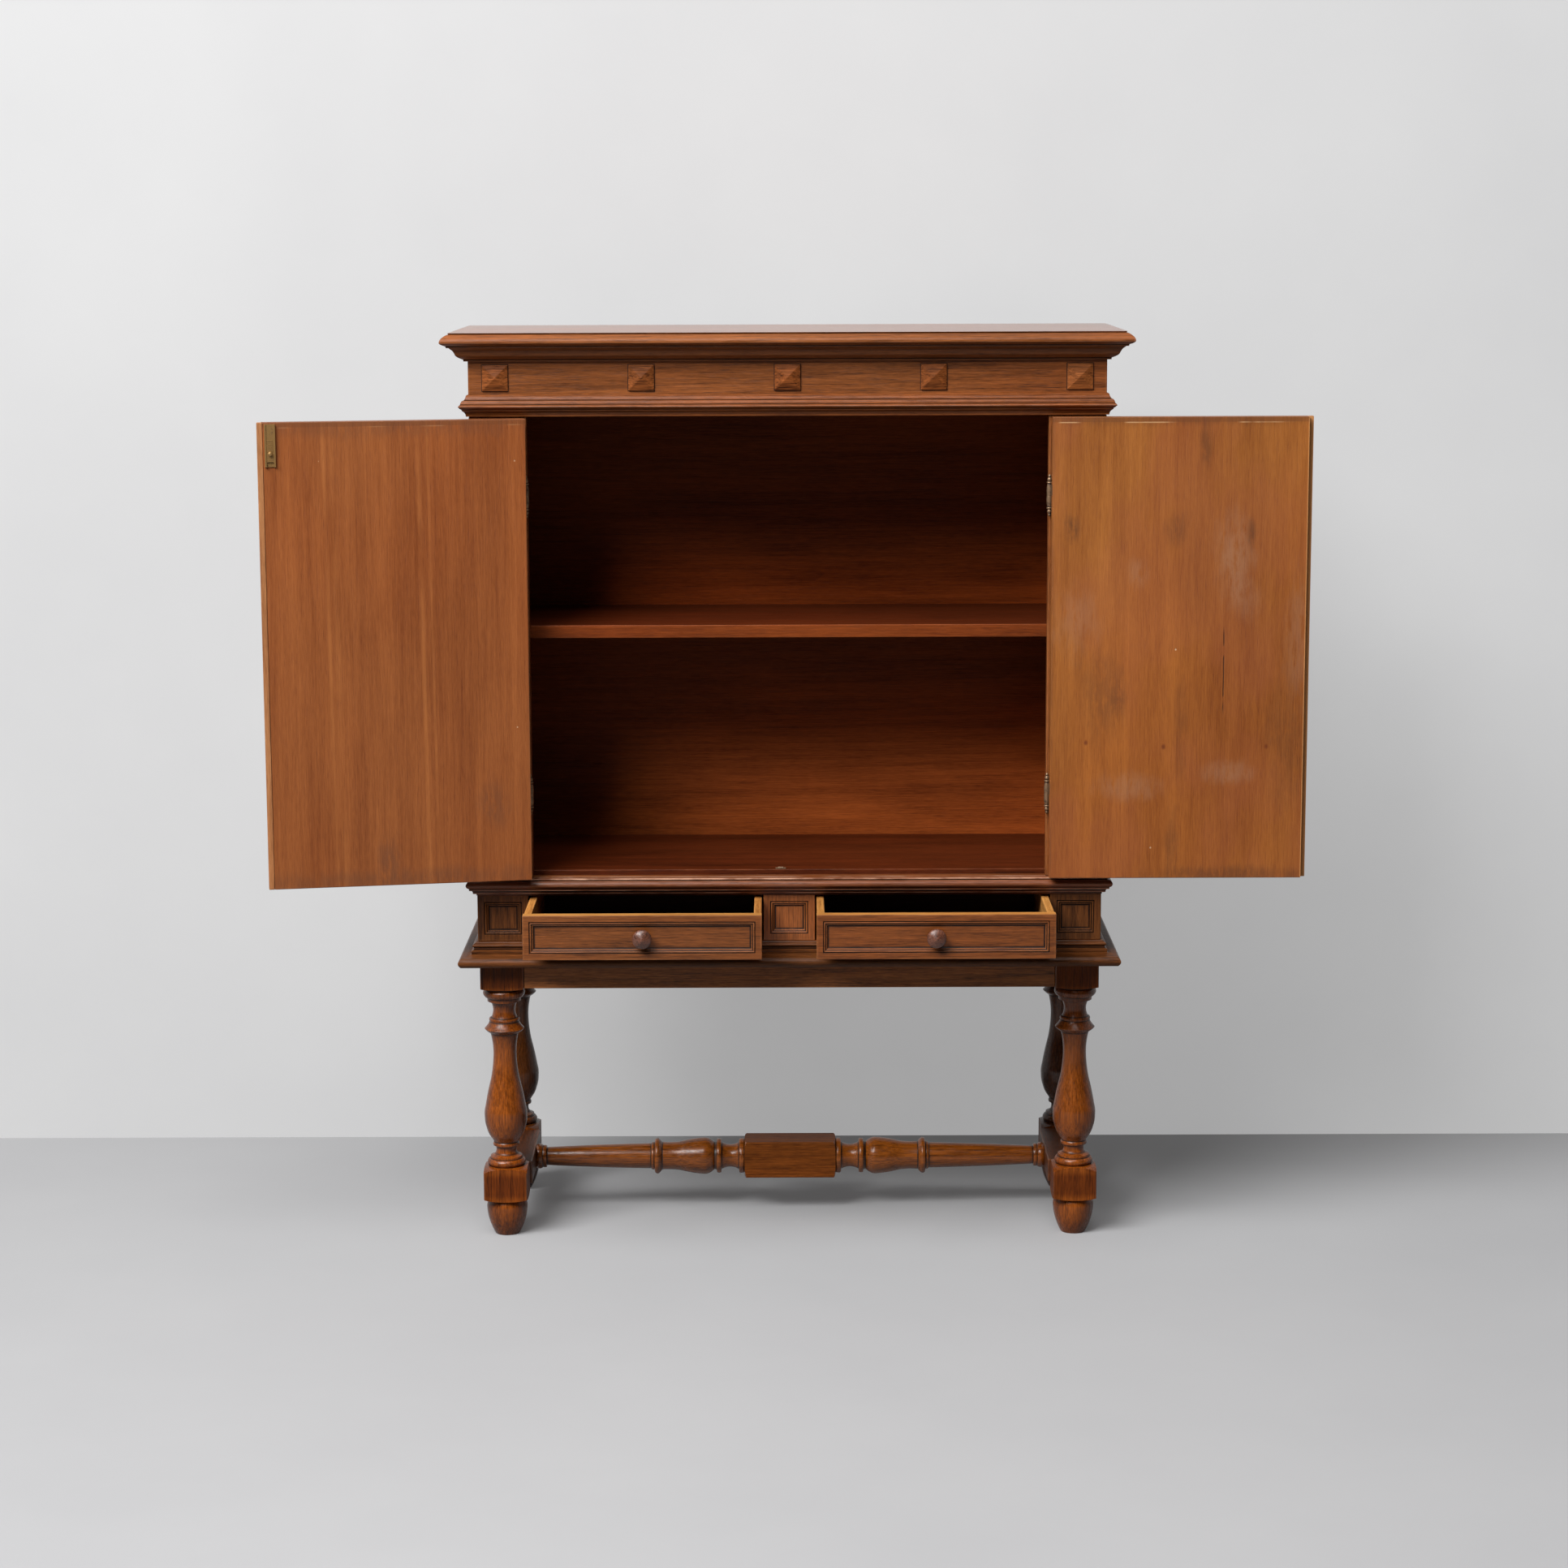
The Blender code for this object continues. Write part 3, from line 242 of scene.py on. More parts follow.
def store(mesh, name, values):
    """Keep a number or a vector for every vertex."""
    kind, field = ("FLOAT", "value") if values.ndim == 1 else ("FLOAT_VECTOR", "vector")
    layer = mesh.attributes.get(name) or mesh.attributes.new(name, kind, "POINT")
    layer.data.foreach_set(field, values.astype(np.float32).ravel())


def lay_grain(mesh, grain, low, high, relief=None, arrises=True, mirrored=False):
    """Say where each point lies in its timber: along, across and through the grain."""
    size = np.array(high) - np.array(low)
    along = "XYZ".index(grain)
    order = [along] + sorted({0, 1, 2} - {along}, key=lambda k: -size[k])
    centre = (np.array(high) + np.array(low)) / 2
    own = (points_of(mesh) - centre)[:, order]
    if mirrored:
        own[:, 1] *= -1.0
    rows = np.ones((len(own), 1))
    store(mesh, "own_place", own)
    store(mesh, "half_size", rows * (size[order] / 2 if arrises else np.ones(3)))
    store(mesh, "lot", rows * LOT_SHIFT * next(lots))
    if relief is not None:
        store(mesh, "relief", relief)
    elif "relief" not in mesh.attributes:
        store(mesh, "relief", np.zeros(len(own)))


def tone(red, green, blue):
    """A colour given in bytes as a screen shows them, as the shader takes it."""
    shares = [byte / 255 for byte in (red, green, blue)]
    return (*[s / 12.92 if s <= 0.04045 else ((s + 0.055) / 1.055) ** 2.4 for s in shares], 1.0)


class Wire:
    """A socket of a finish. Arithmetic on it adds Math nodes, and node() adds any other node."""

    def __init__(self, tree, socket=None):
        self.tree = tree
        self.socket = socket

    def node(self, kind, settings, sockets, output=0):
        """Add a node, with its settings first, and wire or set its sockets."""
        made = self.tree.nodes.new(kind)
        for name, value in settings.items():
            if name == "stops":
                for stop in value[2:]:
                    made.color_ramp.elements.new(stop[0])
                for element, (position, colour) in zip(made.color_ramp.elements, value):
                    element.position = position
                    element.color = colour
            else:
                setattr(made, name, value)
        for name, value in sockets.items():
            if isinstance(value, Wire):
                self.tree.links.new(value.socket, made.inputs[name])
            else:
                made.inputs[name].default_value = value
        return Wire(self.tree, made.outputs[output])

    def math(self, operation, first, second=0.0):
        return self.node("ShaderNodeMath", {"operation": operation}, {0: first, 1: second})

    def __add__(self, other):
        return self.math("ADD", self, other)

    __radd__ = __add__

    def __sub__(self, other):
        return self.math("SUBTRACT", self, other)

    def __rsub__(self, other):
        return self.math("SUBTRACT", other, self)

    def __mul__(self, other):
        return self.math("MULTIPLY", self, other)

    __rmul__ = __mul__

    def __truediv__(self, other):
        return self.math("DIVIDE", self, other)

    def __rtruediv__(self, other):
        return self.math("DIVIDE", other, self)

    def __pow__(self, other):
        return self.math("POWER", self, other)

    def __rpow__(self, other):
        return self.math("POWER", other, self)

    def at_least(self, other):
        return self.math("MAXIMUM", self, other)

    def at_most(self, other):
        return self.math("MINIMUM", self, other)

    def size(self):
        """The value without its sign."""
        return (self * self) ** 0.5

    def between(self, low, high):
        """0 at low and 1 at high, with a soft step from one to the other."""
        sockets = {"Value": self, "From Min": low, "From Max": high}
        return self.node("ShaderNodeMapRange", {"interpolation_type": "SMOOTHSTEP"}, sockets)

    def vector(self, operation, other=(0.0, 0.0, 0.0)):
        return self.node("ShaderNodeVectorMath", {"operation": operation}, {0: self, 1: other})

    def parts(self):
        split = self.node("ShaderNodeSeparateXYZ", {}, {0: self}).socket.node
        return [Wire(self.tree, split.outputs[k]) for k in range(3)]

    def noise(self, along, across, detail=2.0, rough=0.5, through=None):
        """Noise from 0 to 1, with so many grains to the metre along and across the timber."""
        spread = self.vector("MULTIPLY", (along, across, through or across))
        sockets = {"Vector": spread, "Scale": 1.0, "Detail": detail, "Roughness": rough}
        return self.node("ShaderNodeTexNoise", {}, sockets)

    def mixed(self, other, share, blend="MIX"):
        """This colour with a share of another."""
        settings = {"data_type": "RGBA", "blend_type": blend}
        return self.node("ShaderNodeMix", settings, {0: share, 6: self, 7: other}, 2)

    def drive(self, shader, name):
        self.tree.links.new(self.socket, shader.inputs[name])


def blank_finish(name):
    """A new material, its shader, and a loose wire in its tree."""
    material = bpy.data.materials.new(name)
    material.use_nodes = True
    return material, material.node_tree.nodes["Principled BSDF"], Wire(material.node_tree)


def kept(bare, name, output="Vector"):
    """A value that was stored on the vertices."""
    return bare.node("ShaderNodeAttribute", {"attribute_name": name}, {}, output)


def arris_distance(own, half):
    """How far a point on a board lies from the nearest arris."""
    x, y, z = half.vector("SUBTRACT", own.vector("ABSOLUTE")).parts()
    return x.at_most(y).at_least(x.at_least(y).at_most(z))


# The colour of dirt and of painted shade, put into sunk parts, quirks and hollows.
GRIME_AND_SHADE = tone(22, 9, 4)
WARM_CAST = (1.08, 0.93, 0.80, 1.0)
ARRIS_WEAR_AND_SHEEN = (0.0042, 0.0004)
PROUD_WEAR_AND_SHEEN = (0.30, 1.0)
SUNK_DIRT_AND_SHADE = (-0.06, -0.46)
GRAIN_RELIEF = {"Strength": 0.30, "Distance": 0.0006}
POLISH_ROUGHNESS = 0.30


def timber(
    name, stain, pith, ring, figure, streak, pore, cloud, rub_and_sheen, wear_and_sheen_tone, gloss,
    shine=0.40, polish=0.0, broad=0.0, marks=None,
):
    """A stained and waxed timber: rings round the pith, streaks, pores, clouds, wear that is
    partly painted sheen, and dirt with painted shade in sunk parts.
    """
    material, shader, bare = blank_finish(name)
    own = kept(bare, "own_place")
    half = kept(bare, "half_size")
    relief = kept(bare, "relief", "Fac")
    place = own.vector("ADD", kept(bare, "lot"))
    along, across, through = own.parts()
    sway = place.noise(1.4, 7.0, 3.0) - 0.5
    drift = place.noise(0.3, 0.5, 1.0) - 0.5
    side = across - pith[0] + 0.30 * drift + 0.06 * sway
    depth = through - pith[1]
    heart = (side * side + depth * depth) ** 0.5 + 0.024 * sway + 0.012 * along
    band = bare.math("FRACT", heart / ring)
    patch = place.noise(0.9, 4.0).between(0.36, 0.62)
    late = band ** 3.0 * patch
    streaks = place.noise(4.5, 105.0, 4.0, 0.66) - 0.5
    fibre = place.noise(13.0, 440.0, 4.0, 0.62) - 0.5
    fleck = place.noise(60.0, 640.0, 2.0, 0.55) - 0.5
    clouds = place.noise(2.0, 6.5, 4.0, 0.6) - 0.5
    pores = place.noise(38.0, 900.0, 1.0).between(0.58, 0.72)
    light = 0.5 + cloud * clouds + streak * (1.1 * streaks + 1.5 * fibre + 1.1 * fleck)
    light = light + broad * (place.noise(1.6, 40.0, 3.0) - 0.5)
    light = light - figure * (late - 0.25 * patch) - pore * pores
    deep, mid, pale = [tone(*shade) for shade in stain]
    stops = ((0.0, deep), (1.0, pale), (0.5, mid))
    colour = bare.node("ShaderNodeValToRGB", {"stops": stops}, {"Fac": light})
    warm = place.noise(1.2, 3.4).between(0.38, 0.66)
    colour = colour.mixed(WARM_CAST, 0.6 * warm, "MULTIPLY")
    dent = 0.0
    if marks:
        colour, dent = marks(bare, colour, own.vector("ADD", half), place)
    touch = place.noise(16.0, 55.0, 3.0, 0.6).between(0.34, 0.64)
    edge = arris_distance(own, half)
    # Arrises and proud parts are lightened as wear, and on some finishes also as painted sheen.
    wear_and_sheen = (edge.between(*ARRIS_WEAR_AND_SHEEN) + relief.between(*PROUD_WEAR_AND_SHEEN)).at_most(1.0) * touch * rub_and_sheen
    # Sunk parts of a profile take dirt and painted shade, darkest in the quirks where shade falls.
    dirt_and_shade = relief.between(*SUNK_DIRT_AND_SHADE) * (0.76 + 0.24 * touch)
    colour.mixed(tone(*wear_and_sheen_tone), wear_and_sheen).mixed(GRIME_AND_SHADE, dirt_and_shade).drive(shader, "Base Color")
    rough = gloss + 0.20 * fibre + 0.16 * pores + 0.22 * dirt_and_shade - 0.06 * wear_and_sheen + 0.12 * clouds
    rough.drive(shader, "Roughness")
    height = 0.6 * fibre + 0.5 * streaks - 0.9 * pores - 0.25 * late - dent
    bare.node("ShaderNodeBump", {}, {**GRAIN_RELIEF, "Height": height}).drive(shader, "Normal")
    shader.inputs["Specular IOR Level"].default_value = shine
    shader.inputs["Coat Weight"].default_value = polish
    shader.inputs["Coat Roughness"].default_value = POLISH_ROUGHNESS
    return material


def shown(name, mesh, finishes, crease_deg=32):
    """A piece with its finishes on it, smooth between its creases."""
    piece = bpy.data.objects.new(name, mesh)
    bpy.context.scene.collection.objects.link(piece)
    mesh.materials.clear()
    for finish in finishes:
        mesh.materials.append(finish)
    mesh.shade_smooth()
    mesh.set_sharp_from_angle(angle=math.radians(crease_deg))
    return piece


def put(node, mesh, finishes, slot="stained_walnut", body="carcass", matrix=None, second=None):
    """Stand a finished piece in for its solid; second says which faces have the last finish."""
    last = len(finishes) - 1
    choice = [last if second and second(face) else 0 for face in mesh.polygons]
    if matrix is not None:
        mesh.transform(matrix)
    piece = shown("finished_" + node, mesh, finishes)
    mesh.polygons.foreach_set("material_index", choice)
    flats = piece.modifiers.new("flat_faces", "WEIGHTED_NORMAL")
    flats.keep_sharp = True
    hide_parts(node)
    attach(piece, body)


def turned_relief(mesh, points, touching=0.0008):
    """The relief of a turning's profile on the vertices that lie on it, and none on the flats."""
    line = np.array(points, float)
    levels = relief_of([(-height, radius) for height, radius in points])
    spots = points_of(mesh)
    radii = np.hypot(spots[:, 0], spots[:, 1])
    relief = np.zeros(len(spots))
    for i, (height, radius) in enumerate(zip(spots[:, 2], radii)):
        gap = np.hypot(line[:, 0] - height, line[:, 1] - radius)
        nearest = int(gap.argmin())
        if gap[nearest] < touching:
            relief[i] = levels[nearest]
    return relief


def turned_blank(points, side, ease, facets, name, spare=0.02):
    """A square blank along Z, turned to points (height, radius), square where they stand out."""
    top, bottom, half = points[0][0], points[-1][0], side / 2
    outline = [(top + spare, 0.0), (top + spare, side), *points, (bottom, 0.0)]
    cutter = lathe(outline, facets, name)
    blank = eased_box((-half, -half, bottom - spare), (half, half, top), ease)
    return combined(mesh_of(blank, name), cutter, "INTERSECT")


leg_low, leg_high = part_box("leg_front_left")
leg_side = leg_high.x - leg_low.x
shaft = worked(LEG_SQUARE_RADIUS, LEG_TURNING)
block_end = shaft[-1][0] + LEG_LOWER_BLOCK
foot_line = worked(LEG_SQUARE_RADIUS, LEG_FOOT_TURNING)
foot = [(block_end + along, radius) for along, radius in foot_line]
leg_points = [(leg_high.z - along, radius) for along, radius in shaft + foot]
leg_points[-1] = (0.0, leg_points[-1][1])
# Painted shade: the legs are darkened on their flanks, heads and collars, where shade falls.
LEG_PAINTED_SHADE = (0.52, 0.46, 0.44, 1.0)


def leg_painted_shade(bare, colour, low_side, place):
    """Painted shade on the head, the collars and the flanks, and darker on the lower block and the
    foot.
    """
    up, over, _ = low_side.parts()
    head_low = leg_high.z - LEG_HEAD
    block_low = leg_high.z - block_end
    block_high = block_low + LEG_LOWER_BLOCK
    head = up.between(head_low - 0.006, head_low + 0.002)
    block = up.between(block_low - 0.006, block_low + 0.008)
    block = block * up.between(block_high + 0.008, block_high - 0.006)
    collars = up.between(head_low - 0.115, head_low - 0.065)
    sole = up.between(0.048, 0.0)
    flank = (over - leg_side / 2).size().between(0.010, 0.034)
    shaded = head.at_least(block).at_least(0.65 * flank)
    shaded = shaded.at_least(0.50 * collars).at_least(0.65 * sole)
    return colour.mixed(LEG_PAINTED_SHADE, shaded, "MULTIPLY"), 0.0


LEG_GRAIN = dict(pith=(0.012, 0.030), ring=0.0075, figure=0.14, streak=0.78, pore=0.14, cloud=0.8)
LEG_TIMBER = dict(**LEG_GRAIN, rub_and_sheen=0.30, wear_and_sheen_tone=(158, 92, 42))
LEG_WAX = dict(gloss=0.26, shine=0.28, polish=0.12, marks=leg_painted_shade)
FRONT_LEG_STAIN = ((44, 11, 1), (112, 46, 5), (172, 92, 26))
# The back legs are coloured darker than the front ones as painted shade, where they stand back
# under the stand.
BACK_LEG_SHADED_STAIN = ((34, 10, 2), (84, 36, 7), (128, 70, 24))
LEG_BLOCK_STAIN = ((44, 11, 1), (112, 46, 8), (168, 90, 30))
front_leg_walnut = timber("front_leg_walnut", FRONT_LEG_STAIN, **LEG_TIMBER, **LEG_WAX)
back_leg_walnut = timber("back_leg_walnut", BACK_LEG_SHADED_STAIN, **LEG_TIMBER, **LEG_WAX)
leg_block_walnut = timber(
    "leg_block_walnut", LEG_BLOCK_STAIN, **LEG_TIMBER, gloss=0.44, shine=0.14, marks=leg_painted_shade
)
LEG_FLAT = 0.9995
leg_mesh = turned_blank(leg_points, leg_side, LEG_ARRIS, LEG_FACETS, "leg")
leg_relief = turned_relief(leg_mesh, leg_points)
for leg in ("leg_front_left", "leg_front_right", "leg_back_left", "leg_back_right"):
    low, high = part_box(leg)
    mesh = leg_mesh.copy()
    mesh.transform(Matrix.Translation(((low.x + high.x) / 2, (low.y + high.y) / 2, 0.0)))
    lay_grain(mesh, "Z", low, high, leg_relief)
    finishes = [front_leg_walnut if "front" in leg else back_leg_walnut, leg_block_walnut]
    put(leg, mesh, finishes, second=lambda face: max(map(abs, face.normal.xy)) > LEG_FLAT)

# Stretchers
# Two square bars tie the legs front to back, and a turned rail with a square middle block ties
# the bars. They are tenoned and glued, of the same walnut as the legs, with the grain lengthwise.
STRETCHER_SQUARE_RADIUS = 0.046
STRETCHER_END_RADIUS = 0.0195
STRETCHER_FACETS = 72
STRETCHER_ARRIS = 0.0022
BAR_EASE = 0.0022
BOARD_EASE = 0.0010
STRETCHER_TURNING = (
    (0.0105, 0.0195, 0.0018, 4),
    (0.0005, 0.0186),
    (0.0062, 0.0186, 0.0005, 3),
    (0.0010, 0.0153),
    (0.1770, 0.0214, 0.0008, 6),
    (0.0015, 0.0230),
    (0.0040, 0.0232, 0.0004, 2),
    (0.0015, 0.0289),
    (0.0075, 0.0289, 0.0014, 4),
    (0.0045, 0.0234),
    (0.0300, 0.0242, -0.0006, 5),
    (0.0400, 0.0310, 0.0010, 6),
    (0.0190, 0.0229, 0.0026, 6),
    (0.0033, 0.0240),
    (0.0007, 0.0283),
    (0.0070, 0.0283, 0.0010, 4),
    (0.0008, 0.0230),
    (0.0294, 0.0230, -0.0042, 7),
    (0.0008, 0.0285),
    (0.0086, 0.0285, 0.0012, 4),
    (0.0006, 0.0360),
    (0.0050, STRETCHER_SQUARE_RADIUS, 0.0016, 3),
)


def cut_boxes(mesh, cuts, ease=0.0001):
    """A mesh with boxes cut out of it."""
    for low, high in cuts:
        mesh = combined(mesh, mesh_of(eased_box(low, high, ease, 1), "cut"), "DIFFERENCE")
    return mesh


def plank(node, grain, finishes, ease=BOARD_EASE, cuts=(), **fitting):
    """A board as long and wide as its solid, with eased arrises and any cuts made in it."""
    low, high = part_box(node)
    mesh = cut_boxes(mesh_of(eased_box(low, high, ease), node), cuts)
    lay_grain(mesh, grain, low, high)
    put(node, mesh, finishes, **fitting)


# The side bars are coloured much darker than the rail as painted shade, where they stand back
# under the stand.
BAR_SHADED_STAIN = ((24, 7, 2), (62, 26, 6), (106, 56, 22))
RAIL_STAIN = ((42, 11, 1), (118, 50, 6), (180, 98, 28))
RAIL_BLOCK_STAIN = ((40, 12, 2), (100, 44, 8), (152, 82, 28))
bar_shaded_walnut = timber("bar_shaded_walnut", BAR_SHADED_STAIN, **LEG_TIMBER, gloss=0.40)
for side in ("left", "right"):
    plank("side_stretcher_" + side, "Y", [bar_shaded_walnut], BAR_EASE)
low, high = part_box("centre_stretcher")
stretcher_line = worked(STRETCHER_END_RADIUS, STRETCHER_TURNING)
half = [(high.x - along, radius) for along, radius in stretcher_line]
block_half = half[-1][0]
rail_walnut = timber(
    "rail_walnut", RAIL_STAIN, **LEG_TIMBER, gloss=0.21, shine=0.32, polish=0.25
)
rail_block_walnut = timber(
    "rail_block_walnut", RAIL_BLOCK_STAIN, **LEG_TIMBER, gloss=0.46, shine=0.12
)
points = half + [(-along, radius) for along, radius in reversed(half)]
mesh = turned_blank(points, high.z - low.z, STRETCHER_ARRIS, STRETCHER_FACETS, "stretcher")
relief = turned_relief(mesh, points)
mesh.transform(Matrix.Translation((low + high) / 2) @ Matrix.Rotation(math.radians(90), 4, "Y"))
lay_grain(mesh, "X", low, high, relief)
finishes = [rail_walnut, rail_block_walnut]
put("centre_stretcher", mesh, finishes, second=lambda face: abs(face.center.x) < block_half)

# Aprons
# Four plain walnut rails between the leg heads, tenoned into them and set back a little from
# their faces. They are stained as dark as the case they carry.
APRON_EASE = 0.0012
APRON_STAIN = ((46, 17, 5), (124, 62, 25), (200, 124, 68))
CASE_GRAIN = dict(pith=(0.030, 0.110), ring=0.0090, figure=0.16, pore=0.15, cloud=0.5)
CASE_WEAR = dict(rub_and_sheen=0.40, wear_and_sheen_tone=(170, 108, 62))
apron_walnut = timber(
    "apron_walnut", APRON_STAIN, **CASE_GRAIN, **CASE_WEAR, streak=0.8, gloss=0.38, shine=0.24
)
for end, grain in (("front", "X"), ("back", "X"), ("left", "Y"), ("right", "Y")):
    plank("apron_" + end, grain, [apron_walnut], APRON_EASE)

# Stand top
# One wide walnut board that lies on the aprons and carries the case. A moulding is worked on its
# front and ends, and its back is left square against the wall.
STAND_TOP_START = 0.0265
STAND_TOP_MEMBERS = (
    (0.0155, 0.0262, 0.0047, 6),
    (0.0013, 0.0180, -0.0004, 2),
    (0.0032, 0.0100, -0.0005, 3),
)
# A darker walnut: painted shade on the outer pilasters, and also the colour of the stand top and
# the base moulding.
DARK_STAIN_AND_SHADE = ((30, 11, 3), (72, 37, 14), (116, 68, 32))
DARK_WEAR = dict(streak=0.85, rub_and_sheen=0.40, wear_and_sheen_tone=(132, 80, 40))
shaded_dark_walnut = timber("shaded_dark_walnut", DARK_STAIN_AND_SHADE, **CASE_GRAIN, **DARK_WEAR, gloss=0.36, shine=0.16)
case_low, case_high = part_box("case_bottom")
CASE_HALF = case_high.x
CASE_FRONT = case_low.y
CASE_BACK = case_high.y
LEVEL = 0.98


def looking(direction, least):
    """Picks the faces that look in a direction, at least so squarely."""
    return lambda face: face.normal.dot(Vector(direction)) > least


def fitted_levels(node, start, members):
    """Points (height, projection) of a moulding, between the bottom and the top of its solid."""
    low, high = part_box(node)
    points = worked(start, members)
    lift = (high.z - low.z) / points[-1][0]
    return [(low.z + along * lift, across) for along, across in points]


def skinned(rims, name):
    """A solid through closed rims of points, one after the other, with both ends closed."""
    shape = bmesh.new()
    rims = [[shape.verts.new(point) for point in rim] for rim in rims]
    for rim, following in zip(rims, rims[1:]):
        for k in range(len(rim)):
            after = (k + 1) % len(rim)
            shape.faces.new((rim[k], rim[after], following[after], following[k]))
    shape.faces.new(list(reversed(rims[0])))
    shape.faces.new(rims[-1])
    return mesh_of(shape, name)


def moulded_board(node, start, members, finish, upper_finish):
    """One wide board with its front and ends moulded."""
    levels = fitted_levels(node, start, members)
    low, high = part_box(node)
    rims = []
    for height, reach in levels:
        x, y = CASE_HALF + reach, CASE_FRONT - reach
        rims.append([(-x, y, height), (x, y, height), (x, high.y, height), (-x, high.y, height)])
    mesh = skinned(rims, node)
    lay_grain(mesh, "X", low, high, np.repeat(relief_of(levels), 4))
    put(node, mesh, [finish, upper_finish], second=looking((0.0, 0.0, 1.0), LEVEL))


moulded_board("stand_top", STAND_TOP_START, STAND_TOP_MEMBERS, shaded_dark_walnut, shaded_dark_walnut)

# Base and waist mouldings
# Lengths of moulding glued and pinned round the front and sides of the case, mitred at the two
# front corners, with the grain along each length.
BASE_START = 0.010
BASE_MEMBERS = (
    (0.0050, 0.0100, 0.0003, 2),
    (0.0020, 0.0060),
    (0.0030, 0.0060, 0.0003, 2),
    (0.0070, 0.0045, 0.0032, 6),
    (0.0020, 0.0030),
)
WAIST_START = 0.0010
WAIST_MEMBERS = (
    (0.0030, 0.0010),
    (0.0003, 0.0052),
    (0.0014, 0.0066, 0.0003, 2),
    (0.0040, 0.0080, -0.0006, 3),
    (0.0010, 0.0118),
    (0.0030, 0.0122, 0.0003, 2),
    (0.0012, 0.0145),
    (0.0113, 0.0128, 0.0034, 7),
    (0.0004, 0.0082),
    (0.0012, 0.0082),
    (0.0003, 0.0102),
    (0.0019, 0.0100, 0.0002, 2),
    (0.0010, 0.0078, 0.0005, 3),
)
MITRE_GAP = 0.00008
WRAP_CLEARANCE = 0.00015


def joined(name, meshes):
    """One mesh out of several."""
    shape = bmesh.new()
    for mesh in meshes:
        shape.from_mesh(mesh)
    whole = bpy.data.meshes.new(name)
    shape.to_mesh(whole)
    shape.free()
    return whole


def wrapped_moulding(node, start, members, finish):
    """Three mitred lengths round the front and sides of the case."""
    levels = fitted_levels(node, start, members)
    section = levels + [(levels[-1][0], WRAP_CLEARANCE), (levels[0][0], WRAP_CLEARANCE)]
    relief = np.concatenate((relief_of(levels), (0.0, 0.0)))

    def corner(sign, gap_x, gap_y):
        return [
            (sign * (CASE_HALF + reach - gap_x), CASE_FRONT - reach + gap_y, height)
            for height, reach in section
        ]

    def rear(sign):
        return [(sign * (CASE_HALF + reach), CASE_BACK, height) for height, reach in section]

    runs = (
        ("X", (corner(-1, MITRE_GAP, 0.0), corner(1, MITRE_GAP, 0.0))),
        ("Y", (corner(-1, 0.0, MITRE_GAP), rear(-1))),
        ("Y", (corner(1, 0.0, MITRE_GAP), rear(1))),
    )
    lengths = []
    for grain, rims in runs:
        length = skinned(rims, "length")
        spots = points_of(length)
        box = spots.min(axis=0), spots.max(axis=0)
        lay_grain(length, grain, *box, np.tile(relief, 2), arrises=False)
        lengths.append(length)
    put(node, joined(node, lengths), [finish])


WAIST_STAIN = ((36, 11, 5), (100, 45, 22), (150, 88, 54))
# The waist moulding's pale rubbed tone is wear and also a painted highlight on its fillet and
# nose.
WAIST_WEAR_AND_HIGHLIGHT = dict(streak=0.5, rub_and_sheen=1.0, wear_and_sheen_tone=(212, 164, 136))
waist_walnut = timber(
    "waist_walnut", WAIST_STAIN, **CASE_GRAIN, **WAIST_WEAR_AND_HIGHLIGHT, gloss=0.33, shine=0.26, polish=0.04
)
wrapped_moulding("base_moulding", BASE_START, BASE_MEMBERS, shaded_dark_walnut)
wrapped_moulding("waist_moulding", WAIST_START, WAIST_MEMBERS, waist_walnut)

# Drawer case
# The bottom the drawers run on and the guides beside them are plain dark boards; the three
# pilasters and the rail above the drawers are walnut, with a moulded panel sunk in each pilaster.
INSIDE_GRAIN = dict(
    pith=(0.060, 0.150), ring=0.0120, figure=0.10, streak=0.42, pore=0.08, cloud=0.9, broad=0.50,
    rub_and_sheen=0.30, wear_and_sheen_tone=(140, 76, 38), gloss=0.42,
)
INSIDE_STAIN = ((50, 12, 3), (108, 46, 16), (156, 78, 32))
CASE_STAIN = ((40, 13, 3), (105, 49, 18), (172, 100, 50))
inner_wood = timber("cupboard_inside", INSIDE_STAIN, **INSIDE_GRAIN, shine=0.14)


def case_timber(name, wear=CASE_WEAR, **look):
    """The walnut of the case, as worn and as well polished as one of its pieces is."""
    return timber(name, CASE_STAIN, **CASE_GRAIN, **wear, **look)


# The sill's near-white rubbed tone is wear and also a painted highlight along its arris.
SILL_WEAR_AND_HIGHLIGHT = dict(rub_and_sheen=1.0, wear_and_sheen_tone=(240, 206, 182))
case_walnut = case_timber("case_walnut", streak=0.62, gloss=0.36, shine=0.26, polish=0.15)
sill_walnut = case_timber("sill_walnut", SILL_WEAR_AND_HIGHLIGHT, streak=0.5, gloss=0.30, shine=0.5, polish=0.9)
PILASTER_BORDER = 0.0095
SILL_EASE = 0.0028
PANEL_MOULDING = (
    (0.0009, 0.0014, -1.0),
    (0.0007, 0.0001, -1.0),
    (0.0006, -0.0009, 0.2),
    (0.0008, -0.0003, 1.0),
    (0.0008, 0.0004, 0.8),
    (0.0007, 0.0013, -0.9),
    (0.0007, 0.0004, -1.0),
    (0.0007, -0.0003, 0.3),
    (0.0008, 0.0004, 1.0),
    (0.0009, 0.0017, -0.8),
    (0.0008, 0.0006, -1.0),
    (0.0012, 0.0000, -0.3),
    (0.0020, 0.0000, 0.0),
)
PANEL_EDGE = 0.003
PANEL_EDGE_WEAR = 0.35
PANEL_SKIN = 0.0002
PANEL_DEPTH = 0.0055


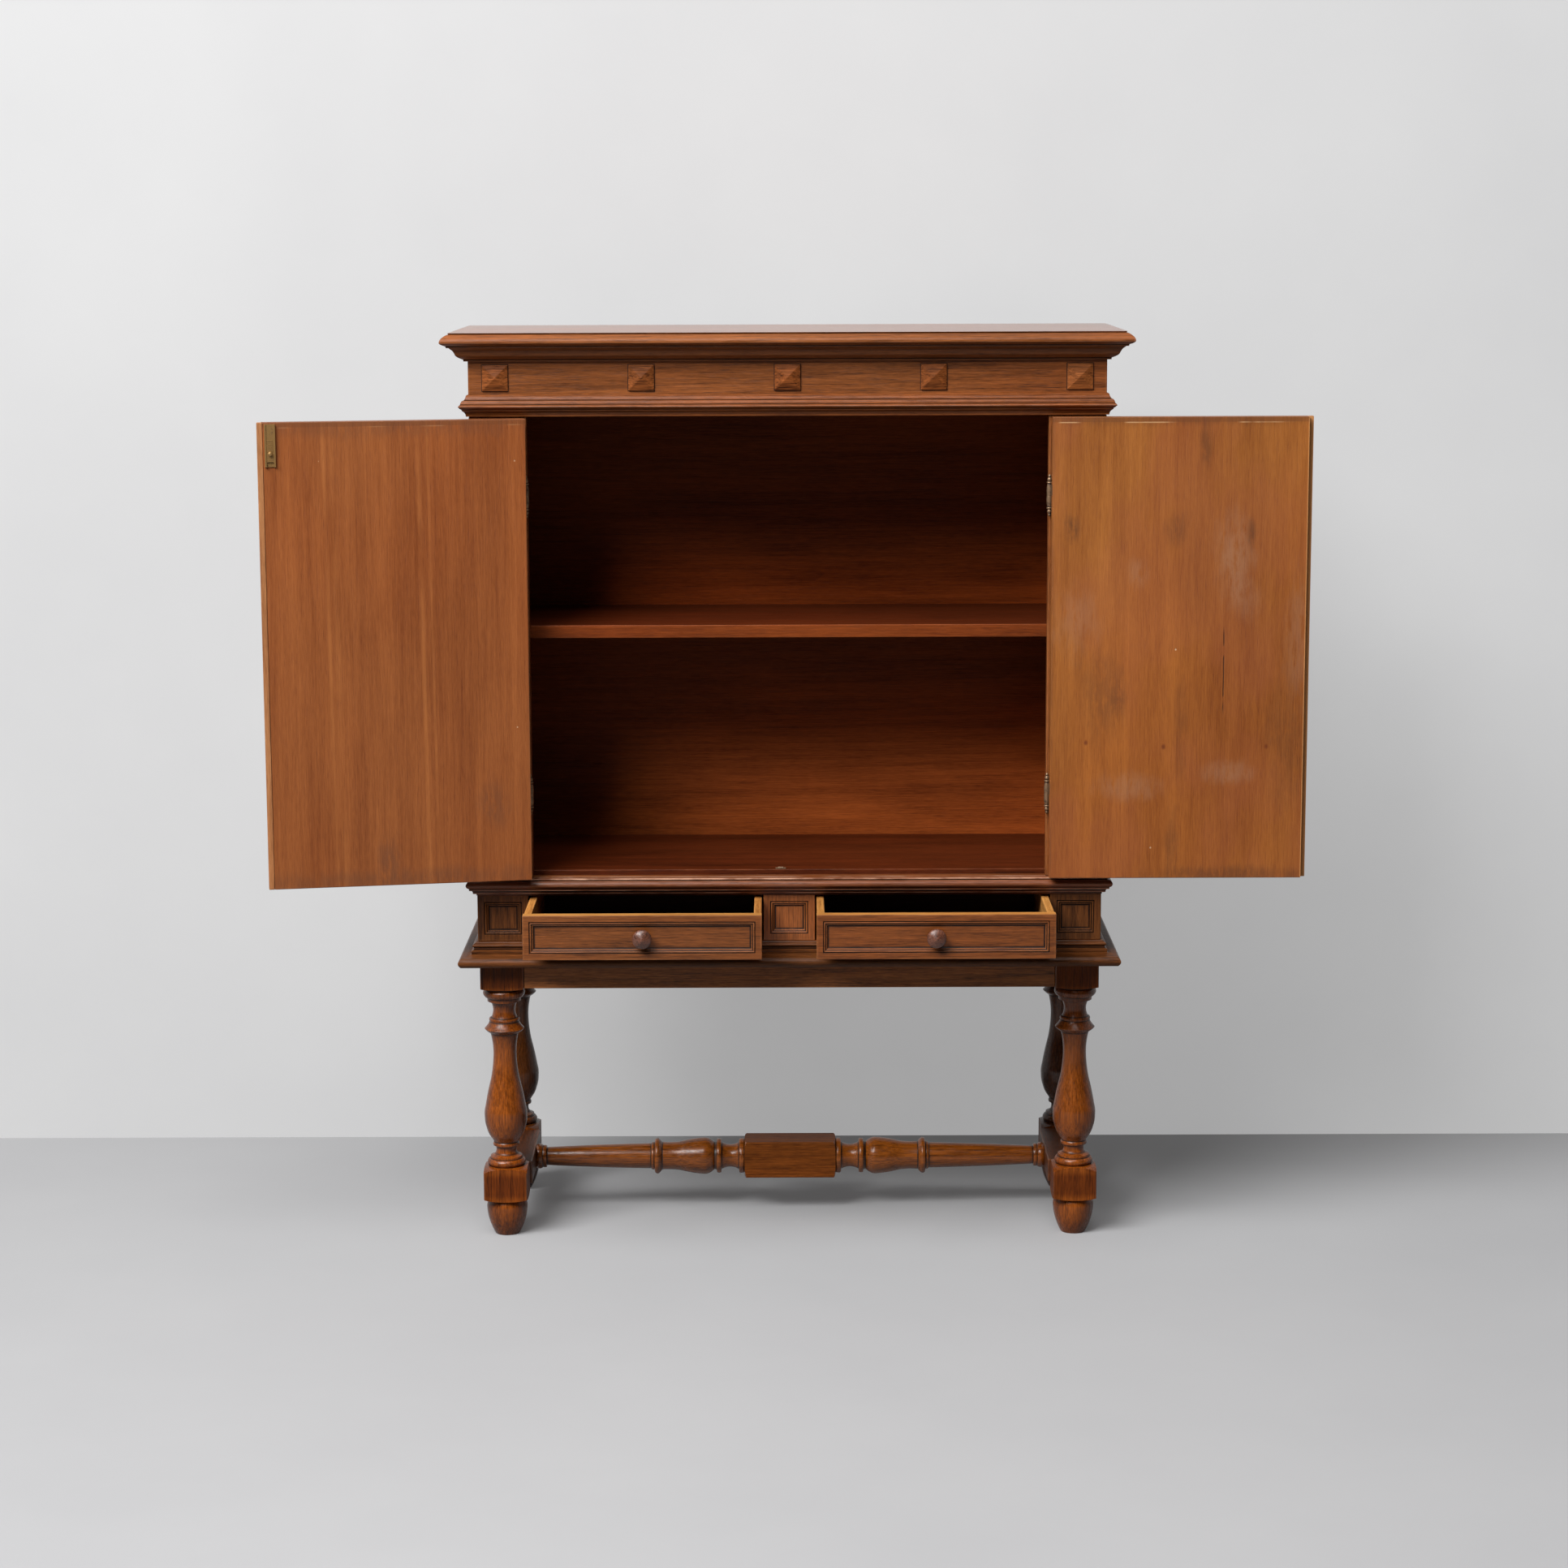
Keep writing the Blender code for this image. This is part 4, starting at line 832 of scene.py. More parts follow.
def sink_panel(shape, border):
    """Sink a moulded panel into the front of a board."""
    layer = shape.verts.layers.float.new("relief")
    shape.normal_update()
    front = max(shape.faces, key=lambda face: -face.normal.y * face.calc_area())
    rows = ((border - PANEL_EDGE, 0.0, 0.0), (PANEL_EDGE, 0.0, PANEL_EDGE_WEAR))
    for inset, drop, relief in rows + PANEL_MOULDING:
        how = dict(thickness=inset, depth=-drop, use_even_offset=True)
        bmesh.ops.inset_individual(shape, faces=[front], **how)
        for corner in front.verts:
            corner[layer] = relief


def panelled_board(node, grain, border, finishes, **fitting):
    """A board with a moulded panel sunk in its front, whose edges may show a second wood."""
    low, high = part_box(node)
    shape = eased_box(low, high, BOARD_EASE)
    sink_panel(shape, border)
    mesh = mesh_of(shape, node)
    lay_grain(mesh, grain, low, high)

    def on_edge(face):
        sunk = low.y + PANEL_SKIN < face.center.y < low.y + PANEL_DEPTH
        return not (sunk or face.normal.y < -0.8) or abs(face.normal.z) >= LEVEL

    put(node, mesh, finishes, second=on_edge, **fitting)


plank("case_bottom", "X", [inner_wood], slot="inner_wood")
# The outer pilasters take the darker walnut as painted shade, the centre one the case walnut.
for spot, finish in (("left", shaded_dark_walnut), ("centre", case_walnut), ("right", shaded_dark_walnut)):
    panelled_board("pilaster_" + spot, "Z", PILASTER_BORDER, [finish])
    plank("drawer_guide_" + spot, "Y", [inner_wood], slot="inner_wood")
plank("waist_rail", "X", [sill_walnut], SILL_EASE)

# Cupboard
# Two walnut sides, with a back, a floor and one shelf of plainer wood, the shelf let into grooves
# in the sides. The inside is stained a deep red-brown, the sides' outer faces like the rest of
# the case.
SIDE_EASE = 0.0012
SHELF_EASE = 0.0014
SHELF_SEAM = 0.0003
GROOVE_RUN_OUT = 0.012
FLOOR_STAIN = ((14, 3, 1), (46, 14, 4), (106, 45, 17))
BACK_PAINTED_LIGHT = (1.85, 1.85, 1.85, 1.0)
BACK_REDDENED = (1.00, 0.82, 0.62, 1.0)
BARE_STAIN = ((56, 36, 20), (106, 74, 46), (146, 110, 74))
shelf_low, shelf_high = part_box("shelf")
groove = (
    shelf_low - Vector.Fill(3, SHELF_SEAM),
    shelf_high + Vector((SHELF_SEAM, GROOVE_RUN_OUT, SHELF_SEAM)),
)
for side, inward in (("left", 1), ("right", -1)):
    inside = looking((inward, 0.0, 0.0), least=0.7)
    finishes = [case_walnut, inner_wood]
    plank("side_" + side, "Z", finishes, SIDE_EASE, [groove], second=inside)
back_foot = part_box("back_panel")[0].z


def back_painted_light(bare, colour, low_side, place):
    """The back with painted light below the shelf on its right, and the stain reddened just above
    the shelf.
    """
    over, up, _ = low_side.parts()
    under = shelf_low.z - back_foot
    above = shelf_high.z - back_foot
    # Painted light: the lower compartment's back is lightened on the right, where light falls in.
    faded = up.between(under - 0.04, under - 0.20) * over.between(0.14, 0.46)
    reddened = up.between(above + 0.20, above + 0.02) * up.between(under, above)
    reddened = reddened * over.between(0.10, 0.30)
    colour = colour.mixed(BACK_PAINTED_LIGHT, faded, "MULTIPLY")
    return colour.mixed(BACK_REDDENED, reddened, "MULTIPLY"), 0.0


back_wood = timber("cupboard_back", INSIDE_STAIN, **INSIDE_GRAIN, shine=0.10, marks=back_painted_light)
bare_back = timber(
    "bare_back", BARE_STAIN, pith=(0.060, 0.150), ring=0.0120, figure=0.22, streak=0.55,
    pore=0.10, cloud=0.7, rub_and_sheen=0.20, wear_and_sheen_tone=(150, 116, 82), gloss=0.62, shine=0.16,
)
floor_wood = timber("cupboard_floor", FLOOR_STAIN, **INSIDE_GRAIN, shine=0.14)
rear, front = [looking((0.0, way, 0.0), least=0.5) for way in (1.0, -1.0)]
plank("back_panel", "X", [back_wood, bare_back], slot="inner_wood", second=rear)
plank("cabinet_floor", "X", [floor_wood], SHELF_EASE, slot="inner_wood")
plank("shelf", "X", [floor_wood, inner_wood], SHELF_EASE, slot="inner_wood", second=front)

# Frieze and top
# The walnut board above the doors, with five square blocks glued on its face, each cut to a low
# pyramid. A moulding wraps the case below it and another above, and the top board closes it.
BLOCK_COUNT = 5
BLOCK_SIDE = 0.041
BLOCK_EDGE = 0.003
BLOCK_RISE = 0.007
BLOCK_END_INSET = 0.043
BLOCK_EASE = 0.0005
BLOCK_SKIN = 0.0004
DIRT_AND_SHADOW_LINE = 0.0012
DIRT_AND_SHADOW_PROUD = 0.0002
DIRT_AND_SHADOW_EASE = 0.00008
BLOCK_WEAR_AND_SHADE = 1.4
ARCHITRAVE_START = 0.0038
ARCHITRAVE_MEMBERS = (
    (0.0014, 0.0040),
    (0.0036, 0.0052, -0.0003, 3),
    (0.0034, 0.0084, -0.0004, 3),
    (0.0010, 0.0098),
    (0.0015, 0.0100),
    (0.0035, 0.0143, 0.0004, 3),
    (0.0022, 0.0150, 0.0008, 3),
    (0.0022, 0.0128, 0.0004, 2),
    (0.0006, 0.0122),
    (0.0055, 0.0098, 0.0006, 3),
    (0.0010, 0.0060),
    (0.0032, 0.0050, 0.0003, 2),
    (0.0044, 0.0034, -0.0003, 2),
    (0.0010, 0.0020),
)
CORNICE_START = 0.0060
CORNICE_MEMBERS = (
    (0.0028, 0.0062, 0.0002, 2),
    (0.0077, 0.0183, 0.0020, 5),
    (0.0075, 0.0224, -0.0004, 4),
    (0.0025, 0.0258, -0.0002, 2),
    (0.0015, 0.0272),
)
TOP_START = 0.0310
TOP_MEMBERS = (
    (0.0026, 0.0318, 0.0002, 2),
    (0.0050, 0.0412, 0.0014, 5),
    (0.0135, 0.0298, 0.0036, 8),
    (0.0004, 0.0275),
    (0.0020, 0.0287, 0.0002, 2),
)
low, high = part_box("frieze_board")
board_low = Vector((low.x, CASE_FRONT, low.z))
board = mesh_of(eased_box(board_low, high, BOARD_EASE), "frieze_board")
lay_grain(board, "X", board_low, high)
glued = [board]
block_z = (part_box("architrave_moulding")[1].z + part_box("cornice_moulding")[0].z) / 2
block_span = 2 * (CASE_HALF - BLOCK_END_INSET)
for index in range(BLOCK_COUNT):
    x = -block_span / 2 + block_span * index / (BLOCK_COUNT - 1)
    block_low = Vector((x - BLOCK_SIDE / 2, CASE_FRONT - BLOCK_EDGE, block_z - BLOCK_SIDE / 2))
    block_high = Vector((x + BLOCK_SIDE / 2, CASE_FRONT + BLOCK_EDGE, block_z + BLOCK_SIDE / 2))
    shape = sharp_box(block_low, block_high)
    face = min(shape.faces, key=lambda side: side.calc_center_median().y)
    bmesh.ops.poke(shape, faces=[face], offset=BLOCK_RISE)
    rim = [edge for edge in shape.edges if max(end.co.y for end in edge.verts) < CASE_FRONT]
    ease_edges(shape, rim, BLOCK_EASE, 2)
    block = mesh_of(shape, "frieze_block")
    # Each block's sides darken towards the board as dirt and painted shade, and its ridges are a
    # little worn.
    proud = np.clip((CASE_FRONT - points_of(block)[:, 1]) / BLOCK_EDGE, 0.0, 1.0)
    lay_grain(block, "X", block_low, block_high, BLOCK_WEAR_AND_SHADE * proud - 1.0, arrises=False)
    # A thin dark plate round each block's foot stands for dirt and painted shadow where the block
    # meets the board.
    line_y = CASE_FRONT - DIRT_AND_SHADOW_PROUD
    line_low = Vector((block_low.x - DIRT_AND_SHADOW_LINE, line_y, block_low.z - DIRT_AND_SHADOW_LINE))
    line_high = Vector((block_high.x + DIRT_AND_SHADOW_LINE, block_high.y, block_high.z + DIRT_AND_SHADOW_LINE))
    line = mesh_of(eased_box(line_low, line_high, DIRT_AND_SHADOW_EASE, 1), "dirt_and_shadow_line")
    lay_grain(line, "X", line_low, line_high, np.full(len(line.vertices), -1.0))
    glued += [block, line]
block_walnut = case_timber("block_walnut", streak=0.85, gloss=0.50, shine=0.12)
put(
    "frieze_board", joined("frieze_board", glued), [case_walnut, block_walnut],
    second=lambda face: face.center.y < CASE_FRONT - BLOCK_SKIN,
)
MOULDING_WEAR = dict(rub_and_sheen=0.55, wear_and_sheen_tone=(152, 108, 86))
moulding_walnut = case_timber(
    "moulding_walnut", MOULDING_WEAR, streak=0.5, gloss=0.33, shine=0.18, polish=0.06
)
polished_walnut = case_timber("polished_walnut", streak=0.85, gloss=0.34, shine=0.5, polish=0.9)
wrapped_moulding("architrave_moulding", ARCHITRAVE_START, ARCHITRAVE_MEMBERS, moulding_walnut)
wrapped_moulding("cornice_moulding", CORNICE_START, CORNICE_MEMBERS, moulding_walnut)
moulded_board("top_board", TOP_START, TOP_MEMBERS, moulding_walnut, polished_walnut)

# Drawers
# Each has a walnut front with a moulded panel, two grooved sides of honey-coloured wood, a back
# and a thin bottom coloured near black as painted shade, and a turned knob glued into the middle
# of the front.
LINING_STAIN = ((110, 58, 16), (188, 114, 40), (226, 162, 84))
# Painted shade: the drawer backs and bottoms are coloured near black, for the shade inside the
# drawers.
DRAWER_INSIDE_SHADE = ((16, 6, 3), (40, 18, 8), (72, 38, 18))
KNOB_STAIN = ((42, 19, 13), (95, 51, 37), (132, 80, 58))
DRAWER_STAIN = ((36, 11, 2), (93, 43, 15), (156, 90, 44))
lining = timber(
    "drawer_lining", LINING_STAIN, pith=(0.020, 0.060), ring=0.0060, figure=0.20, streak=0.7,
    pore=0.08, cloud=0.6, rub_and_sheen=0.30, wear_and_sheen_tone=(206, 150, 92), gloss=0.46, shine=0.35,
)
shaded_bottom = timber("old_drawer_bottom", DRAWER_INSIDE_SHADE, **INSIDE_GRAIN, shine=0.28)
knob_wood = timber(
    "knob_wood", KNOB_STAIN, pith=(0.004, 0.010), ring=0.0040, figure=0.25, streak=1.0,
    pore=0.10, cloud=0.8, rub_and_sheen=0.25, wear_and_sheen_tone=(124, 84, 66), gloss=0.34, shine=0.42, polish=0.25,
)
drawer_walnut = timber(
    "drawer_walnut", DRAWER_STAIN, **CASE_GRAIN, **CASE_WEAR,
    streak=0.62, gloss=0.36, shine=0.24, polish=0.12,
)
DRAWER_BORDER = 0.0088
DRAWER_SEAM = 0.0003
KNOB_FACETS = 48
KNOB_START_RADIUS = 0.0095
KNOB_TURNING = (
    (0.0020, 0.0095, 0.0004, 2),
    (0.0055, 0.0085, -0.0010, 4),
    (0.0070, 0.0152, 0.0018, 5),
    (0.0115, 0.0, 0.0054, 8),
)
BOTTOM_EASE = 0.0006
knob_points = [*reversed(worked(KNOB_START_RADIUS, KNOB_TURNING)), (0.0, 0.0)]
for side in ("left", "right"):
    drawer, body = "drawer_" + side, side + "_drawer"
    inside = dict(slot="drawer_lining", body=body)
    panelled_board(drawer + "_front", "X", DRAWER_BORDER, [drawer_walnut, lining], body=body)
    bottom_low, bottom_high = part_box(drawer + "_bottom")
    slack = Vector.Fill(3, DRAWER_SEAM)
    slot_cut = (bottom_low - slack, bottom_high + 2 * slack)
    for hand in ("left", "right"):
        plank(drawer + "_side_" + hand, "Y", [lining], cuts=[slot_cut], **inside)
    plank(drawer + "_bottom", "X", [shaded_bottom], BOTTOM_EASE, **inside)
    plank(drawer + "_back", "X", [shaded_bottom], **inside)
    low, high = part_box(drawer + "_knob")
    mesh = lathe(knob_points, KNOB_FACETS, "knob")
    relief = turned_relief(mesh, knob_points)
    middle = Vector(((low.x + high.x) / 2, high.y, (low.z + high.z) / 2))
    mesh.transform(Matrix.Translation(middle) @ Matrix.Rotation(math.radians(90), 4, "X"))
    lay_grain(mesh, "Y", low, high, relief, arrises=False)
    put(drawer + "_knob", mesh, [knob_wood], "knob_wood", body)

# Hinges
# Four pin hinges of old brass gone brown: on each a lower half with the pin, its leaf let into
# the stile, and an upper half that turns on it, its leaf let into the door's edge.
HINGE_FACETS = 40
HINGE_SEAM = 0.0003
HINGE_AXIS_OUT = 0.00125
HINGE_SIDE_GAP = 0.0015
HINGE_AXIS_PROUD = 0.006
HINGE_PIN_RADIUS = 0.0018
HINGE_PIN_LENGTH = 0.014
HINGE_PIN_CLEARANCE = 0.0004
HINGE_LEAF_THICKNESS = 0.0014
HINGE_LEAF_HEIGHT = 0.0172
HINGE_LEAF_REACH = 0.016
HINGE_BARREL_RADIUS = 0.0043
HINGE_TURNING = (
    (0.0185, 0.0036, 0.0008, 4),
    (0.0006, 0.0044),
    (0.0022, 0.0044, 0.0004, 3),
    (0.0006, 0.0025),
    (0.0065, 0.0025, 0.0013, 5),
    (0.0005, 0.0020),
    (0.0052, 0.0, 0.0013, 5),
)
LEAF_EASE = 0.0003
LEAF_SCREW_RADIUS = 0.0018
SCREW_FACETS = 24
SCREW_PROUD = 0.00025
METAL_PITS = {"Strength": 0.25, "Distance": 0.0003}


def old_metal(name, bright, dull, gloss, tarnish, metal):
    """Old brass, bright where it is touched and brown where it is not."""
    material, shader, bare = blank_finish(name)
    relief = kept(bare, "relief", "Fac")
    own = kept(bare, "own_place")
    place = own.vector("ADD", kept(bare, "lot"))
    bloom = place.noise(140.0, 140.0, 4.0, 0.62)
    pits = place.noise(900.0, 900.0)
    stain = (bloom - 0.35 * relief).between(0.62 - tarnish, 0.92 - tarnish)
    stops = ((0.0, tone(*bright)), (1.0, tone(*dull)))
    colour = bare.node("ShaderNodeValToRGB", {"stops": stops}, {"Fac": stain})
    colour.mixed(GRIME_AND_SHADE, relief.between(-0.2, -0.9) * 0.8).drive(shader, "Base Color")
    (gloss + 0.28 * stain + 0.20 * (pits - 0.5)).drive(shader, "Roughness")
    (metal * (1.0 - 0.45 * stain)).drive(shader, "Metallic")
    bump = bare.node("ShaderNodeBump", {}, {**METAL_PITS, "Height": pits + bloom})
    bump.drive(shader, "Normal")
    return material


hinge_brass = old_metal(
    "hinge_brass", bright=(138, 110, 84), dull=(64, 44, 32), gloss=0.38, tarnish=0.20, metal=0.6
)
hinge_joints = {joint["child"]: joint for joint in frame["joints"] if joint["type"] == "hinge"}


def door_frame(side):
    """From a door's own axes, closed and measured from its pin, to where it stands open."""
    joint = hinge_joints[side + "_door"]
    axis = Vector(joint["axis"])
    swing = -math.radians(min(joint["range_deg"])) * axis.z
    return Matrix.Translation(Vector(joint["pos_m"]).xy.to_3d()) @ Matrix.Rotation(swing, 4, "Z")


def leaf_box(sign, on_door, level):
    """Corners of a hinge leaf from the pin, on the side that sign gives."""
    edge = HINGE_AXIS_OUT + HINGE_SIDE_GAP if on_door else HINGE_AXIS_OUT
    deep = HINGE_LEAF_THICKNESS if on_door else -HINGE_LEAF_THICKNESS
    xs = sorted((sign * edge, sign * (edge + deep)))
    base = level + HINGE_SEAM if on_door else level - HINGE_LEAF_HEIGHT
    low = Vector((xs[0], -HINGE_BARREL_RADIUS / 2, base))
    high = Vector((xs[1], HINGE_AXIS_PROUD + HINGE_LEAF_REACH, base + HINGE_LEAF_HEIGHT))
    return low, high


def hinge_half(node, sign, on_door, level, matrix, body):
    """One half of a hinge: a turned barrel with its finial, and a leaf."""
    barrel = worked(HINGE_BARREL_RADIUS, HINGE_TURNING)
    if on_door:
        bore = HINGE_PIN_RADIUS + HINGE_PIN_CLEARANCE
        depth = HINGE_SEAM + HINGE_PIN_LENGTH + HINGE_PIN_CLEARANCE
        points = [(HINGE_SEAM + along, radius) for along, radius in reversed(barrel)]
        points += [(HINGE_SEAM, bore), (depth, bore), (depth, 0.0)]
    else:
        points = [(HINGE_PIN_LENGTH, 0.0), (HINGE_PIN_LENGTH, HINGE_PIN_RADIUS)]
        points += [(0.0, HINGE_PIN_RADIUS)] + [(-along, radius) for along, radius in barrel]
    turned = lathe(points, HINGE_FACETS, node)
    relief = turned_relief(turned, points)
    turned.transform(Matrix.Translation((0.0, 0.0, level)))
    low, high = leaf_box(sign, on_door, level)
    leaf = mesh_of(eased_box(low, high, LEAF_EASE, 2), node)
    mesh = joined(node, (turned, leaf))
    lay_grain(mesh, "Z", low, high, np.concatenate((relief, np.zeros(len(leaf.vertices)))))
    put(node, mesh, [hinge_brass], "aged_brass", body, matrix)


def screw_at(spot, facing, radius, turn):
    """A slotted countersunk screw head, driven home at a spot and facing outward."""
    head = [
        (SCREW_PROUD, 0.0),
        (SCREW_PROUD, radius * 0.55),
        (SCREW_PROUD * 0.8, radius * 0.85),
        (0.0, radius),
        (-radius * 0.5, radius * 0.5),
        (-radius * 0.5, 0.0),
    ]
    deep, wide = radius * 0.35, radius * 0.14
    slot_low, slot_high = (-2 * radius, -wide, SCREW_PROUD - deep), (2 * radius, wide, 0.01)
    slot = mesh_of(eased_box(slot_low, slot_high, 0.00001, 1), "slot")
    mesh = combined(lathe(head, SCREW_FACETS, "screw"), slot, "DIFFERENCE")
    spots = points_of(mesh)
    sunk = (spots[:, 2] < SCREW_PROUD * 0.5) & (np.hypot(*spots[:, :2].T) < 0.98 * radius)
    lay_grain(mesh, "Z", spots.min(axis=0), spots.max(axis=0), np.where(sunk, -1.0, 0.1))
    aim = Vector(facing).to_track_quat("Z", "X").to_matrix().to_4x4()
    mesh.transform(Matrix.Translation(spot) @ aim @ Matrix.Rotation(turn, 4, "Z"))
    return mesh


def fit_screws(name, screws, finish, matrix, body):
    """Screws that ride on one body, kept as one piece."""
    mesh = joined(name, screws)
    mesh.transform(matrix)
    piece = shown(name, mesh, [finish])
    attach(piece, body)


def leaf_screws(sign, on_door, level):
    """Two screws through a hinge leaf, on the face that shows when the door is open."""
    low, _ = leaf_box(sign, on_door, level)
    shown_x = sign * (HINGE_AXIS_OUT + HINGE_SIDE_GAP) if on_door else sign * HINGE_AXIS_OUT
    facing = (-sign if on_door else sign, 0.0, 0.0)
    y = HINGE_AXIS_PROUD + HINGE_LEAF_REACH * 0.52
    heights = (low.z + HINGE_LEAF_HEIGHT * 0.25, low.z + HINGE_LEAF_HEIGHT * 0.75)
    return [screw_at((shown_x, y, z), facing, LEAF_SCREW_RADIUS, 0.5 + 37.0 * z) for z in heights]


SIDES = (("left", -1), ("right", 1))
HINGE_PLACES = ("lower", "upper")
hinge_levels = {}
for side, sign in SIDES:
    opened = door_frame(side)
    closed = Matrix.Translation(opened.translation)
    on_door = []
    on_stile = []
    for height in HINGE_PLACES:
        hinge = f"hinge_{side}_{height}"
        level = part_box(hinge + "_door_half")[0].z - HINGE_SEAM
        hinge_levels[side, height] = level
        hinge_half(hinge + "_door_half", -sign, True, level, opened, side + "_door")
        hinge_half(hinge + "_stile_half", -sign, False, level, closed, "carcass")
        on_door += leaf_screws(-sign, True, level)
        on_stile += leaf_screws(-sign, False, level)
    fit_screws(f"hinge_screws_{side}_door", on_door, hinge_brass, opened, side + "_door")
    fit_screws(f"hinge_screws_{side}_stile", on_stile, hinge_brass, closed, "carcass")

# Stiles
# The two upright walnut boards that frame the doorway, with shallow pockets cut in their inner
# edges for the hinge leaves.
STILE_EASE = 0.0012


def leaf_pockets(side, sign, on_door):
    """The shallow cuts that take the leaves of one door's hinges, measured from the pin."""
    slack = Vector.Fill(3, HINGE_SEAM)
    leaves = [leaf_box(-sign, on_door, hinge_levels[side, height]) for height in HINGE_PLACES]
    return [(low - slack, high + slack) for low, high in leaves]


for side, sign in SIDES:
    axis = door_frame(side).translation
    pockets = [(low + axis, high + axis) for low, high in leaf_pockets(side, sign, False)]
    plank("stile_" + side, "Z", [case_walnut], STILE_EASE, pockets)

# Doors
# Two heavy wooden doors, panelled and stained like the case outside, plain and faded to
# orange-brown inside. A strip let into the free edge of the left one closes against a rebate in
# the right one.
DOOR_BORDER = 0.052
DOOR_EASE = 0.0011
DOOR_PANEL_DEPTH = 0.006
LIP_OVERLAP = 0.007
LIP_THICKNESS = 0.011
LIP_REBATE_CLEARANCE = 0.0012
LIP_SEAM = 0.0003
LIP_EASE = 0.0012
CUT_SPARE = 0.1
TOP_STRIP = 0.0085
STRIP_COLOUR = tone(104, 62, 36)
OLD_GLUE = tone(212, 168, 122)
NICK_COLOUR = tone(214, 176, 140)
FADED_STREAK = tone(190, 118, 62)
FADED_PATCH = tone(158, 86, 58)
SPLIT_COLOUR = tone(48, 28, 18)
REBATE_PAINTED_LIGHT = tone(214, 150, 92)
DARKENED = (98, 62, 44)
GREY_BLOOM = (168, 124, 94)
WATER_STAIN = (84, 52, 34)
OLD_KNOT = (104, 46, 22)


def own_box(node, matrix):
    """A node's corners in the axes of the door that carries it."""
    spots = [matrix.inverted() @ corner.co for corner in frame["nodes"][node].data.vertices]
    return [Vector([pick(spot[k] for spot in spots) for k in range(3)]) for pick in (min, max)]


door_low, door_high = own_box("door_left", door_frame("left"))
DOOR_HEIGHT = door_high.z - door_low.z
DOOR_WIDTH = door_high.x - door_low.x


def banded_top(colour, up, place, glue):
    """The strip glued along a door's top edge, with a thin broken line of old glue below it."""
    rise = up - (DOOR_HEIGHT - TOP_STRIP)
    line = rise.size().between(0.0014, 0.0004)
    broken = place.noise(2.0, 16.0, 3.0, through=2.0).between(0.50, 0.62)
    colour = colour.mixed(STRIP_COLOUR, rise.between(0.0, 0.001) * 0.40)
    return colour.mixed(OLD_GLUE, line * broken * glue)


def patched(colour, low_side, place, stain, rows, ragged=1.5):
    """Soft patches of a stain: height, distance from one side, half sizes, strength."""
    up, over, _ = low_side.parts()
    wobble = ragged * (place.noise(20.0, 36.0, 4.0, 0.65) - 0.5)
    cover = place.noise(30.0, 90.0, 4.0, 0.7).between(0.28, 0.56)
    for height, across, tall, wide, strength in rows:
        rise = (up - height) / tall
        run = (over - across) / wide
        patch = ((rise * rise + run * run) ** 0.5 + wobble).between(1.25, 0.20)
        colour = colour.mixed(tone(*stain), patch * cover * strength)
    return colour


def nicked(bare, colour, place, spare):
    """Small pale nicks scattered over the wood, as a colour and as dents."""
    spread = place.vector("MULTIPLY", (26.0, 30.0, 30.0))
    cell = bare.node("ShaderNodeTexVoronoi", {"feature": "F1"}, {"Vector": spread, "Scale": 1.0})
    chosen = place.noise(7.0, 8.0, 1.0).between(spare - 0.02, spare + 0.02)
    nick = cell.between(0.056, 0.024) * chosen
    return colour.mixed(NICK_COLOUR, nick * 0.85), nick * 2.0


LEFT_DOOR_STREAKS = (
    (0.099, 0.005, 0.40),
    (0.112, 0.010, 0.22),
    (0.247, 0.006, 0.34),
    (0.262, 0.003, 0.26),
)
LEFT_DOOR_SHADES = (
    (0.040, 0.185, 0.050, 0.022, 0.50),
    (0.130, 0.355, 0.045, 0.030, 0.35),
    (0.735, 0.200, 0.020, 0.300, 0.35),
    (0.010, 0.200, 0.020, 0.300, 0.40),
)


def left_door_marks(bare, colour, low_side, place):
    """Faded streaks, a rubbed foot and a few pale nicks, placed from the free edge."""
    low_side = low_side.vector("MULTIPLY", (1.0, -1.0, 1.0)).vector("ADD", (0.0, DOOR_WIDTH, 0.0))
    up, over, _ = low_side.parts()
    wander = 0.010 * (up - 0.37) * (place.noise(1.5, 2.0) + 0.5)
    broken = place.noise(5.0, 20.0, 3.0).between(0.30, 0.58)
    for across, wide, strength in LEFT_DOOR_STREAKS:
        stripe = (over - across + wander).size().between(wide, 0.0)
        colour = colour.mixed(FADED_STREAK, stripe * broken * strength)
    colour = patched(colour, low_side, place, DARKENED, LEFT_DOOR_SHADES)
    return nicked(bare, banded_top(colour, up, place, glue=0.15), place, spare=0.62)


RIGHT_DOOR_BLOOM = (
    (0.520, 0.292, 0.070, 0.034, 0.42),
    (0.455, 0.310, 0.040, 0.026, 0.22),
    (0.172, 0.285, 0.022, 0.046, 0.36),
    (0.150, 0.125, 0.026, 0.060, 0.32),
    (0.420, 0.040, 0.060, 0.044, 0.24),
    (0.390, 0.395, 0.120, 0.022, 0.26),
    (0.497, 0.138, 0.026, 0.018, 0.26),
)
RIGHT_DOOR_STAINS = (
    (0.300, 0.085, 0.080, 0.044, 0.34),
    (0.290, 0.105, 0.030, 0.014, 0.30),
    (0.700, 0.244, 0.040, 0.012, 0.42),
    (0.557, 0.318, 0.026, 0.008, 0.58),
    (0.566, 0.032, 0.026, 0.014, 0.62),
    (0.566, 0.200, 0.030, 0.022, 0.34),
    (0.060, 0.197, 0.060, 0.014, 0.34),
    (0.250, 0.210, 0.090, 0.014, 0.22),
    (0.230, 0.380, 0.110, 0.040, 0.26),
    (0.006, 0.300, 0.016, 0.140, 0.50),
    (0.738, 0.200, 0.010, 0.300, 0.30),
)
